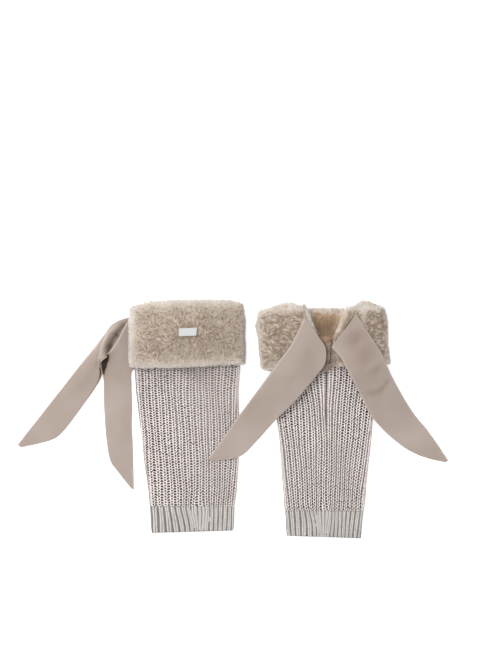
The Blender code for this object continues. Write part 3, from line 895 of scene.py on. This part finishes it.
def outlineOf(body, points):
    # the backing's points along the cuff's outline, and which way each faces
    outward = np.zeros(points.size)
    body.data.vertices.foreach_get("normal", outward)
    outward = outward.reshape(-1, 3)
    outside = np.sum(outward * (points - points.mean(0)) * (1, 1, 0), axis=1) > 0
    outside &= np.abs(outward[:, 2]) < fur["wallTilt"]
    return points[outside], outward[outside]


def sowHairs(side, points, corners, random):
    # the roots of the hairs all over the backing, and of the loose tufts at the open slit
    roots, normals = samplePoints(points, corners, fur["hairs"], random)
    up, down = normals[:, 2] > fur["faceTilt"], normals[:, 2] < -fur["faceTilt"]
    lower, upper = roots[:, 2] < fur["middleHeight"], roots[:, 2] > fur["middleHeight"]
    inner = (up & lower) | (down & upper)
    inner &= roots[:, 1] < fur["innerTop"] + random.normal(0, 1.2 * mm, len(roots))
    under = down & lower
    keep = random.random(len(roots)) < np.where(inner, 1.0, np.where(under, fur["underShare"], 1.0))
    roots, normals, inner, under = roots[keep], normals[keep], inner[keep], under[keep]
    tufts = np.zeros(len(roots), dtype=int)
    for number, tuft in enumerate(slitTufts[side], 1):
        spread = random.uniform(-1, 1, (tuft["hairs"], 3)) * tuft["half"]
        spread[:, 0] += tuft["slant"] * spread[:, 1]
        roots = np.vstack([roots, (spread + tuft["at"]) * mm])
        normals = np.vstack([normals, np.tile((0.0, 0.0, 1.0), (tuft["hairs"], 1))])
        inner = np.append(inner, np.full(tuft["hairs"], tuft["inner"]))
        under = np.append(under, np.zeros(tuft["hairs"], dtype=bool))
        tufts = np.append(tufts, np.full(tuft["hairs"], number))
    return SimpleNamespace(roots=roots, normals=normals, inner=inner, under=under, tufts=tufts)


def layHairs(node, side, hairs, random):
    # hairs lean with the brushed flow, and those of one lock lean alike
    roots, normals, inner = hairs.roots, hairs.normals, hairs.inner
    count = len(roots)
    level = np.clip((np.abs(normals[:, 2]) - 0.3) / 0.45, 0, 1)  # nothing at the sides, one on the faces
    low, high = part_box(node)
    hairs.lockCount = int((high.x - low.x) * (high.y - low.y) * 4 / fur["lockSize"][side] ** 2)
    locks = roots[random.choice(count, hairs.lockCount, replace=False)]
    hairs.lock = nearestOf(roots, locks)
    hairs.apart = locks[hairs.lock] - roots
    direction = pileFlow(locks, low, high)
    direction = direction + random.normal(0, fur["lockTurn"], (hairs.lockCount, 3)) * (1, 1, 0.3)
    fall = np.array(fur["slitFall"]) * slitShare(locks, side)[:, None]
    direction = unit(direction + fall)[hairs.lock]
    hairs.rim = rimShare(roots, side)
    direction = unit(direction + np.array(fur["rimRoll"]) * hairs.rim[:, None])
    direction[inner] = fur["innerLie"]
    lean = unit(direction - normals * np.sum(direction * normals, axis=1, keepdims=True))
    upright = fur["sideUpright"] + (fur["upright"] - fur["sideUpright"]) * level
    stray = random.normal(0, fur["stray"], roots.shape) * np.where(inner, 0.5, 1.0)[:, None]
    pull = hairs.apart / fur["length"] * fur["gather"] * level[:, None]
    lean = lean * random.uniform(*fur["leans"], count)[:, None]
    hairs.along = unit(normals * upright[:, None] + lean + stray + pull)
    length = fur["sideLength"] + (fur["length"] - fur["sideLength"]) * level
    length = np.where(inner, fur["innerLength"], length) * random.uniform(*fur["lengths"], count)
    length = np.where(hairs.under, length * fur["underLength"], length)
    hairs.length = length * (1 - fur["rimShorter"] * hairs.rim)


def toneHairs(side, hairs, walls, wallOut, random):
    # the pile takes painted light round the outline, most on the side of the lamp, painted shade away from it
    # and between curly locks, and dark hairs show between
    roots, inner, rim = hairs.roots, hairs.inner, hairs.rim
    count, outer = len(roots), ~inner
    wall, edge = edgeShare(roots, walls, side)
    edge = edge * outer * (1 - slitShare(roots, side))
    # how far the outline faces the lamp, for its painted light and shade
    facing = wallOut[wall] @ np.array(fur["paintedLightSide"])
    hairs.smooth = np.maximum(edge * (1 - 0.5 * smoothStep(0.2, 0.7, -facing)), rim)
    rough = 1 - hairs.smooth
    curly = pileTones["curly"][side]
    tones = random.normal(0, pileTones["lockSpread"] * curly, hairs.lockCount)[hairs.lock]
    tones = tones + random.normal(0, pileTones["hairSpread"], count)
    apart = np.linalg.norm(hairs.apart, axis=1) / fur["lockSize"][side]
    # painted shade in the crevices between curly locks
    tones = tones - pileTones["lockShade"] * (curly - 1) * (4 * apart ** 2 - 0.7)
    tones = tones * (1 - pileTones["smoothSpread"] * hairs.smooth)
    tones = tones * np.where(inner, pileTones["innerSpread"], 1.0)
    tones = pileTones["base"] + tones + pileTones["rim"] * rim
    away, towards = pileTones["edgeFacing"]
    tones = tones + edge * (pileTones["edge"] + np.where(facing < 0, away, towards) * facing)
    ribs = np.sin(roots[:, 0] / (0.5 * mm) + 2 * np.sin(roots[:, 0] / (3 * mm)))
    tones = tones + pileTones["innerRibs"] * ribs * inner
    dark = random.random(count) < pileTones["darkShare"] * rough ** 2 * outer
    tones = tones - pileTones["darkHair"] * curly * dark
    # painted light on the far layer's rim near its top
    top = np.clip((roots[:, 1] - fur["innerTop"]) / pileTones["innerTopReach"] + 1, 0, 1)
    tones = tones + pileTones["innerTop"] * top ** 2 * inner
    if side == "right":
        # painted shade on the middle of the far layer
        middle = (roots[:, 1] - pileTones["innerShadeAt"]) / pileTones["innerShadeReach"]
        tones = tones - pileTones["innerShade"] * np.exp(-middle ** 2) * inner
        # painted light on the turned edge left of the slit, which the left lobe shades
        slitEdgeLight = gapTo(roots, pileTones["slitEdgeAt"]) / pileTones["slitEdgeReach"]
        tones = tones + pileTones["slitEdgeLight"] * np.exp(-slitEdgeLight ** 2)
    # short pile with painted shade along seams, ribbon ends and the label
    for route, half, shorter, paintedShade in cuffLines[side]["dips"]:
        near = np.exp(-(gapTo(roots, route) / (half * mm)) ** 2) * outer
        hairs.length = hairs.length * (1 - shorter * near)
        tones = tones - paintedShade * near
    if side == "right":
        # painted shade on the pile round the bottom of the open slit
        tones = tones - slitPile["paintedShade"] * slitShare(roots, side) * outer
        tones = tones - pileTones["rightBody"] * (1 - edge) * outer
    hairs.tones = tones


def layTufts(side, hairs, random):
    # the loose tufts have a way, a length and a tone of their own
    for number, tuft in enumerate(slitTufts[side], 1):
        mine, count = hairs.tufts == number, tuft["hairs"]
        hairs.along[mine] = unit(np.array(tuft["lean"]) + random.normal(0, 0.5, (count, 3)))
        hairs.length[mine] = tuft["length"] * mm * random.uniform(0.6, 1.1, count)
        wave = pileTones["tuftWave"] * np.sin(7 * hairs.lock[mine])
        hairs.tones[mine] = tuft["tone"] + random.normal(0, pileTones["tuftSpread"], count) + wave


def trimHairs(node, hairs, blockers):
    # no hair stands far out of the solid, through a ribbon or the label, or under the table's top
    skin = treeOf(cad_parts[node].data)
    roots, along, length = hairs.roots, hairs.along, hairs.length
    sideReach, faceReach = fur["reach"]
    for index in range(len(roots)):
        tip = Vector(roots[index] + along[index] * length[index])
        place, outward, _, _ = skin.find_nearest(tip)
        beyond = (tip - place).dot(outward)
        allowed = sideReach + (faceReach - sideReach) * max(outward.z, 0) ** 2
        if beyond > allowed and not hairs.tufts[index]:
            length[index] *= max((fur["inset"] + allowed) / (fur["inset"] + beyond), fur["leastKept"])
        start = Vector(roots[index] + 0.2 * mm * hairs.normals[index])
        hit = blockers.ray_cast(start, Vector(along[index]), float(length[index]) + 1.2 * mm)
        if hit[0] is not None:
            length[index] = max(hit[3] - 0.8 * mm, 0.8 * mm)
    tips = (roots + along * length[:, None])[:, 2]
    room = (roots[:, 2] - 0.5 * mm) / np.maximum(-along[:, 2], 0.001)
    hairs.length = np.where(tips < 0.4 * mm, np.clip(room, 0.5 * mm, length), length)


def turnHairs(hairs, random):
    # each spike's own axes, with its ridge outwards, and its width, thickness and length
    along = hairs.along
    across = unit(np.cross(along, hairs.normals + random.normal(0, 0.25, hairs.roots.shape)))
    ridge = unit(np.cross(along, across))
    ridge = ridge * np.sign(np.sum(ridge * hairs.normals, axis=1, keepdims=True))
    hairs.axes = np.stack([np.cross(ridge, along), ridge, along], axis=1)
    width = fur["width"] * random.uniform(*fur["widths"], len(along))
    hairs.scales = np.stack([width, np.full(len(along), fur["thick"]), hairs.length], axis=1)


def makePile(name, side, hairs, chosen, proto, material):
    tones, smooth = hairs.tones[chosen], hairs.smooth[chosen]
    places, axes, scales = hairs.roots[chosen], hairs.axes[chosen], hairs.scales[chosen]
    piece = copyMany(name, proto, places, axes, scales, tones, material)
    shape = proto[0]
    # each hair runs from a darker root, partly painted shade deep in the pile, to a lighter tip, least where
    # the pile is smooth
    lift = np.tile(shape[:, 2] / shape[:, 2].max(), int(chosen.sum()))
    outerContrast = pileTones["contrast"] + pileTones["curlyContrast"] * pileTones["curly"][side]
    contrast = np.where(hairs.inner[chosen], pileTones["innerContrast"], outerContrast)
    contrast = np.repeat(contrast * (1 - 0.8 * smooth), len(shape))
    total = np.repeat(tones, len(shape)) + contrast * (lift - 0.5)
    attribute = piece.data.attributes["tone"]
    attribute.data.foreach_set("value", np.ascontiguousarray(total, dtype=np.float32))
    soft = unit(hairs.normals[chosen] + 0.35 * (1 - 0.7 * smooth)[:, None] * hairs.along[chosen])
    piece.data.normals_split_custom_set_from_vertices(np.repeat(soft, len(shape), axis=0).tolist())
    return piece


def makeCuff(side, seed, backing, pile, innerPile, proto, blockers):
    random = np.random.default_rng(seed)
    node = side + "_cuff_fur"
    body = makeBacking(node, side + "CuffBacking", backing)
    points, corners = meshArrays(body.data)
    walls, wallOut = outlineOf(body, points)
    wall, edge = edgeShare(points, walls, side)
    # painted light on the backing under the outline and the rims, left off walls that face away from the lamp
    light = pileTones["backing"] * np.maximum(rimShare(points, side), edge)
    light = light * (1 - slitShare(points, side))
    putTone(body, "tone", light * (wallOut[wall, 0] < 0.6))
    hairs = sowHairs(side, points, corners, random)
    layHairs(node, side, hairs, random)
    toneHairs(side, hairs, walls, wallOut, random)
    layTufts(side, hairs, random)
    trimHairs(node, hairs, blockers)
    turnHairs(hairs, random)
    pieces = [
        makePile(side + "OuterPile", side, hairs, ~hairs.inner, proto, pile),
        makePile(side + "InnerPile", side, hairs, hairs.inner, proto, innerPile),
    ]
    for piece in [body] + pieces:
        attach(piece, "root")
    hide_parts(node)
    print(side, "cuff", len(body.data.polygons), [len(piece.data.polygons) for piece in pieces])


# The two long edges of each ribbon from its sewn end to its tip, in millimetres, then its folds:
# a line on the cloth, its half width and its height, and its painted shading, which are lines of tone that
# paint shadow into hollows, creases and under raised edges, and highlight along ridges.
ribbons = {
    "left_ribbon_outer": {
        "rows": [
            (-50, 129, -50, 92), (-95, 131.5, -95, 93), (-126, 133.5, -124, 92), (-141, 132.2, -138, 89),
            (-159.7, 124.3, -150, 82), (-172.1, 108.3, -159, 80), (-185, 91.7, -167, 79.5),
            (-198.3, 75.7, -176.2, 70), (-214, 55.6, -175.8, 51), (-240, 22.6, -205, 7.6),
            (-262, -5.4, -228.3, -21.9), (-277, -24.4, -246, -32.4), (-287, -37.2, -282, -41),
        ],
        "folds": [
            (-147, 117, -160, 92, 5.0, -5.5), (-164, 81, -176, 74, 6.0, 7.0), (-176, 72, -177, 52, 5.0, 4.0),
            (-180, 60, -205, 30, 7.0, -0.8), (-215, 40, -235, 12, 6.0, 0.6),
        ],
        "paintedShading": [
            (-142, 126, -149, 117, 4.6, -0.50), (-153, 111, -156, 106, 5.8, -0.60),
            (-160.5, 99, -165, 89, 5.8, -0.45), (-154, 122, -167, 112, 1.6, 0.25),
            (-167, 112, -173.5, 96.5, 1.4, 0.3), (-173.5, 96.5, -176.5, 83.5, 1.4, 0.3),
            (-176.5, 83.5, -178.5, 68, 1.3, 0.3), (-170, 112, -176.5, 97, 1.6, -0.14),
            (-176.5, 97, -180.5, 82, 1.6, -0.14), (-180.5, 82, -182, 60, 2.4, -0.12),
            (-177, 76, -176, 52, 1.0, -0.9), (-176.3, 54, -181, 40, 1.0, -0.9),
            (-181, 41, -194, 22, 0.9, -0.6),
        ],
    },
    "left_ribbon_hanging": {
        "rows": [
            (-64, 131, -64, 84), (-100, 132, -100, 79), (-126, 128.5, -116, 70), (-140, 126, -128, 65),
            (-152.5, 104, -134, 61), (-164.5, 86.5, -135.2, 52), (-178.5, 76, -134.9, 46),
            (-177.0, 64, -134.8, 40), (-172.8, 54, -134.6, 34), (-172.2, 40, -134.2, 26),
            (-172.0, 20, -133.8, 10), (-170.6, -5, -134.4, -10), (-168.5, -30, -133.2, -36),
            (-163.5, -58, -132.4, -64), (-152, -75, -131.9, -81), (-136, -95, -131.6, -97.6),
        ],
        "folds": [
            (-150, 88, -158, 50, 9.0, 0.8), (-166, 60, -168, 10, 6.0, -0.7), (-147, 20, -150, -40, 7.0, 0.6),
        ],
        "paintedShading": [
            (-166, 85, -171, 70, 3.8, -1.1), (-170.5, 76, -171.5, 60, 2.6, -0.8),
            (-172.5, 78, -172.3, 50, 1.1, -1.0), (-110, 110, -150, 80, 20.0, 0.08),
        ],
    },
    "right_ribbon_left": {
        "rows": [
            (95.0, 131.4, 98.4, 129.2), (91.6, 124.4, 113.2, 107.8), (86.7, 114, 123.2, 91.6),
            (76.3, 94.3, 122.6, 71.8), (61, 74, 111.8, 55.7), (36, 40, 86.5, 25.1), (11, 5.6, 55.8, -5.5),
            (-10, -24, 32.4, -31.7), (-24, -43.6, 8.7, -53), (-33, -56, -28, -58.6),
        ],
        "folds": [(108, 92, 82, 66, 12.0, 1.0), (60, 52, 30, 12, 10.0, -0.8), (86, 52, 74, 44, 5.0, -0.6)],
        "paintedShading": [(108, 92, 78, 60, 16.0, -0.12)],
    },
    "right_ribbon_right": {
        "rows": [
            (163, 138.6, 131.2, 93), (179, 114, 143.9, 77.8), (197.4, 85.7, 158.1, 51),
            (210, 57.6, 171, 26.6), (226.6, 27.4, 184.7, 0.7), (241.6, 4.2, 198.4, -15.6),
            (258, -15.6, 213.1, -29.3), (271.4, -34, 233, -44), (280.6, -47.6, 256, -54.4),
            (287.6, -58, 283.4, -61),
        ],
        "folds": [
            (166, 108, 156, 78, 7.0, -0.25), (174, 104, 172, 80, 6.0, 0.5), (173, 57, 190, 56, 3.0, -0.9),
            (190, 56, 202, 70, 4.0, -0.8), (176, 66, 192, 64, 4.0, 0.6), (186, 46, 196, 45, 3.0, -0.8),
            (196, 22, 203, 20, 3.0, -0.7),
        ],
        "paintedShading": [
            (156, 118, 168, 96, 20.0, -0.22), (164, 90, 182, 66, 18.0, -0.2), (168, 113, 160, 92, 5.0, -0.05),
            (146, 114, 163, 138.6, 0.9, -0.9), (178, 31, 194, 33, 4.0, -0.2), (194, 33, 203, 43, 4.0, -0.25),
            (203, 43, 207, 51, 3.0, -0.2), (190, 57, 202, 72, 6.0, -0.12),
        ],
    },
}
ribbonSizes = {
    "steps": 132,
    "across": 18,
    "thick": 0.6 * mm,
    "selvedge": 1.6 * mm,
    "underTop": 0.2 * mm,  # the cloth's upper face lies this far under the solid's
    "leastHeight": 0.9 * mm,
    "evenings": 4,  # how often the heights are evened out
    "tone": 0.28,
    # the edges are lighter: a woven selvedge, and painted highlight where they roll
    "selvedgeAndHighlight": 0.36,
}


def refine(rows, steps):
    # evenly spaced steps along a smooth curve through the rows
    rows = np.array(rows, dtype=float)
    count = len(rows)
    place = np.arange(steps + 1) / steps * (count - 1)
    start = np.minimum(place.astype(int), count - 2)
    share = (place - start)[:, None]
    before, here = rows[np.maximum(start - 1, 0)], rows[start]
    there, after = rows[start + 1], rows[np.minimum(start + 2, count - 1)]
    bend = 2 * before - 5 * here + 4 * there - after
    twist = 3 * (here - there) + after - before
    return here + 0.5 * share * (there - before + share * (bend + share * twist))


def softLine(x, y, line):
    # one on the line, falling away softly on both sides and towards its ends
    x1, y1, x2, y2, half, size = line
    run = np.array([x2 - x1, y2 - y1])
    share = np.clip(((x - x1) * run[0] + (y - y1) * run[1]) / (run @ run), 0, 1)
    gap = np.hypot(x - x1 - share * run[0], y - y1 - share * run[1])
    ends = 0.35 + 0.65 * np.sin(math.pi * np.clip(share, 0.05, 0.95))
    return size * ends * np.exp(-(gap / half) ** 2)


def ribbonHeights(node, x, y):
    # the height of the solid's upper face at each place, evened out, in millimetres
    tree = treeOf(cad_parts[node].data)
    down, above = Vector((0, 0, -1)), 0.5
    z = np.zeros_like(x)
    for index in np.ndindex(x.shape):
        spot = Vector((x[index] * mm, y[index] * mm, above))
        hit = tree.ray_cast(spot, down)[0]
        if hit is None:
            near = tree.find_nearest(Vector((spot.x, spot.y, 10 * mm)))[0]
            hit = tree.ray_cast(Vector((near.x, near.y, above)), down)[0] or near
        z[index] = hit.z / mm
    for _ in range(ribbonSizes["evenings"]):
        padded = np.pad(z, 1, mode="edge")
        around = padded[:-2, 1:-1] + padded[2:, 1:-1] + padded[1:-1, :-2] + padded[1:-1, 2:]
        z = 0.5 * z + 0.125 * around
    return z - ribbonSizes["underTop"] / mm


def makeRibbon(node, name, material):
    data = ribbons[node]
    rows = refine(data["rows"], ribbonSizes["steps"])
    share = np.linspace(0.0, 1.0, ribbonSizes["across"] + 1)
    x = rows[:, 0:1] + (rows[:, 2:3] - rows[:, 0:1]) * share
    y = rows[:, 1:2] + (rows[:, 3:4] - rows[:, 1:2]) * share
    z = ribbonHeights(node, x, y)
    for line in data["folds"]:
        z = z + softLine(x, y, line)
    z = np.maximum(z, ribbonSizes["leastHeight"] / mm)
    size, columns = x.shape
    verts = np.stack([x, y, z], axis=-1) * mm
    faces = []
    for row in range(size - 1):
        for column in range(columns - 1):
            first = row * columns + column
            faces.append([first, first + columns, first + columns + 1, first + 1])
    piece = meshFromArrays(name, verts.reshape(-1, 3), faces, material)
    middle = verts[:, columns // 2]
    steps = np.concatenate([[0.0], np.cumsum(np.linalg.norm(np.diff(middle, axis=0), axis=1))])
    width = np.linalg.norm(np.diff(verts, axis=1), axis=2).sum(axis=1)
    uv = np.stack([share[None, :] * width[:, None], np.broadcast_to(steps[:, None], x.shape)], axis=-1)
    putUv(piece, uv.reshape(-1, 2))
    # lighter edges: a woven selvedge, and painted highlight where the edges roll
    rim = np.minimum(share, 1 - share)[None, :] * width[:, None]
    tone = ribbonSizes["tone"] + ribbonSizes["selvedgeAndHighlight"] * (rim < ribbonSizes["selvedge"])
    # painted shadow and painted highlight lines on the cloth
    for line in data["paintedShading"]:
        tone = tone + softLine(x, y, line)
    putTone(piece, "tone", tone.ravel())
    if sum(face.normal.z for face in piece.data.polygons) < 0:
        piece.data.flip_normals()
    applyModifier(piece, "SOLIDIFY", thickness=ribbonSizes["thick"], offset=-1.0)
    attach(piece, "root")
    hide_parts(node)
    return piece


labelSizes = {
    "size": (24.4 * mm, 10.6 * mm, 0.9 * mm),
    "turn": 2,  # degrees
    "aside": 0.5 * mm,  # from the solid's middle
    "slant": 1.6 * mm,  # how far its lower right corner is drawn in
    "rounding": 0.4 * mm,
}


def makeLabel(material):
    low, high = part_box("left_label")
    middle = (high + low) / 2
    deselectAll()
    bpy.ops.mesh.primitive_cube_add(size=1.0, location=(0, 0, 0))
    label = bpy.context.object
    label.name = label.data.name = "blankLabel"
    label.scale = labelSizes["size"]
    label.rotation_euler = (0, 0, math.radians(labelSizes["turn"]))
    label.location = middle + Vector((labelSizes["aside"], 0, 0))
    bpy.ops.object.transform_apply(location=True, rotation=True, scale=True)
    for vertex in label.data.vertices:
        if vertex.co.x > middle.x and vertex.co.y < middle.y:
            vertex.co.x -= labelSizes["slant"]
    applyModifier(label, "BEVEL", width=labelSizes["rounding"], segments=2)
    applyModifier(label, "SUBSURF", subdivision_type="SIMPLE", levels=2, render_levels=2)
    label.data.materials.append(material)
    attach(label, "root")
    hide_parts("left_label")
    return label


stageSizes = {
    "table": 12.0,
    "tableHeight": -0.3 * mm,
    "tableGlow": 0.55,
    "windowPlace": (-1.3, 1.3, 2.6),
    "windowAim": (1.3, -1.25, -2.6),
    "windowSize": 1.4,
    "windowPower": 62.0,
    "skyStrength": 0.75,
    "viewCentre": (9.7 * mm, 117 * mm),
    "viewHeight": 877.3 * mm,
    "distance": 6.0,
    "sensor": 36.0,  # in millimetres, as the lens
}


def makeStage():
    deselectAll()
    bpy.ops.mesh.primitive_plane_add(size=stageSizes["table"], location=(0, 0, stageSizes["tableHeight"]))
    floor = bpy.context.object
    floor.name = "tableTop"
    floor.data.materials.append(tableMaterial("whiteTable", stageSizes["tableGlow"]))
    bpy.ops.object.transform_apply(location=True)
    bpy.ops.object.light_add(type="AREA", location=stageSizes["windowPlace"])
    light = bpy.context.object
    light.name = "softWindow"
    light.data.shape = "SQUARE"
    light.data.size = stageSizes["windowSize"]
    light.data.energy = stageSizes["windowPower"]
    light.rotation_euler = Vector(stageSizes["windowAim"]).to_track_quat("-Z", "Y").to_euler()
    scene = bpy.context.scene
    if scene.world is None:
        scene.world = bpy.data.worlds.new("studio")
    scene.world.use_nodes = True
    sky = scene.world.node_tree.nodes["Background"]
    sky.inputs["Color"].default_value = (1.0, 1.0, 1.0, 1.0)
    sky.inputs["Strength"].default_value = stageSizes["skyStrength"]
    bpy.ops.object.camera_add(location=(*stageSizes["viewCentre"], stageSizes["distance"]))
    camera = bpy.context.object
    camera.data.sensor_fit = "VERTICAL"
    camera.data.sensor_height = stageSizes["sensor"]
    camera.data.lens = stageSizes["sensor"] * stageSizes["distance"] / stageSizes["viewHeight"]
    camera.data.clip_end = 50.0
    scene.camera = camera
    scene.view_settings.view_transform = "Standard"


makeStage()
print("stage made")

# each from its darkest colour to its lightest
yarn = yarnMaterial(
    "paleYarn", (0.17, 0.12, 0.08), (0.51, 0.445, 0.42), (0.85, 0.765, 0.74), (0.95, 0.87, 0.845))
# near black: painted shade seen in the holes between the stitches
woolShadeGround = groundMaterial("woolShadeGround", (0.022, 0.013, 0.009), (0.055, 0.036, 0.027), (0.055, 0.036, 0.027))
bandYarn = yarnMaterial(
    "bandYarn", (0.20, 0.17, 0.15), (0.36, 0.333, 0.313), (0.58, 0.545, 0.52), (0.76, 0.73, 0.70))
# darker than the band's yarn: painted shade in the ankle rib's valleys
bandShadeGround = groundMaterial("bandShadeGround", (0.15, 0.135, 0.125), (0.28, 0.255, 0.24), (0.28, 0.255, 0.24))
pile = furMaterial("plushPile", (0.33, 0.245, 0.18), (0.67, 0.555, 0.455), (0.80, 0.73, 0.665))
# darker than the outer pile, partly painted shade inside the open slit
innerPile = furMaterial("innerPlush", (0.26, 0.16, 0.09), (0.55, 0.365, 0.225), (0.78, 0.68, 0.58))
# dark as painted shade between the hairs, lightest under the pile's outline and rims
backing = groundMaterial("plushBacking", (0.20, 0.15, 0.11), (0.34, 0.265, 0.205), (0.66, 0.57, 0.49))
# its two darkest colours are the painted shadow in the ribbons' hollows and creases
satin = ribbonMaterial(
    "mattSatin", (0.03, 0.02, 0.014), (0.10, 0.065, 0.04), (0.27, 0.205, 0.16), (0.54, 0.465, 0.432))
tape = labelMaterial("blankTape")

makeKnit("left_leg_knit", "leftLeg", knit, 11, False, yarn, woolShadeGround)
makeKnit("right_leg_knit", "rightLeg", rightKnit, 12, True, yarn, woolShadeGround)
makeKnit("left_ankle_rib", "leftAnkle", leftBand, 13, False, bandYarn, bandShadeGround)
makeKnit("right_ankle_rib", "rightAnkle", band, 14, True, bandYarn, bandShadeGround)

label = makeLabel(tape)
laidOver = [label.data]
for node in ribbons:
    leg, place = node.split("_ribbon_")
    laidOver.append(makeRibbon(node, leg + "Ribbon" + place.capitalize(), satin).data)
print("label and ribbons made")

hair = makeHair()
blockers = treeOf(*laidOver)
makeCuff("left", 21, backing, pile, innerPile, hair, blockers)
makeCuff("right", 22, backing, pile, innerPile, hair, blockers)
print("cuffs made")
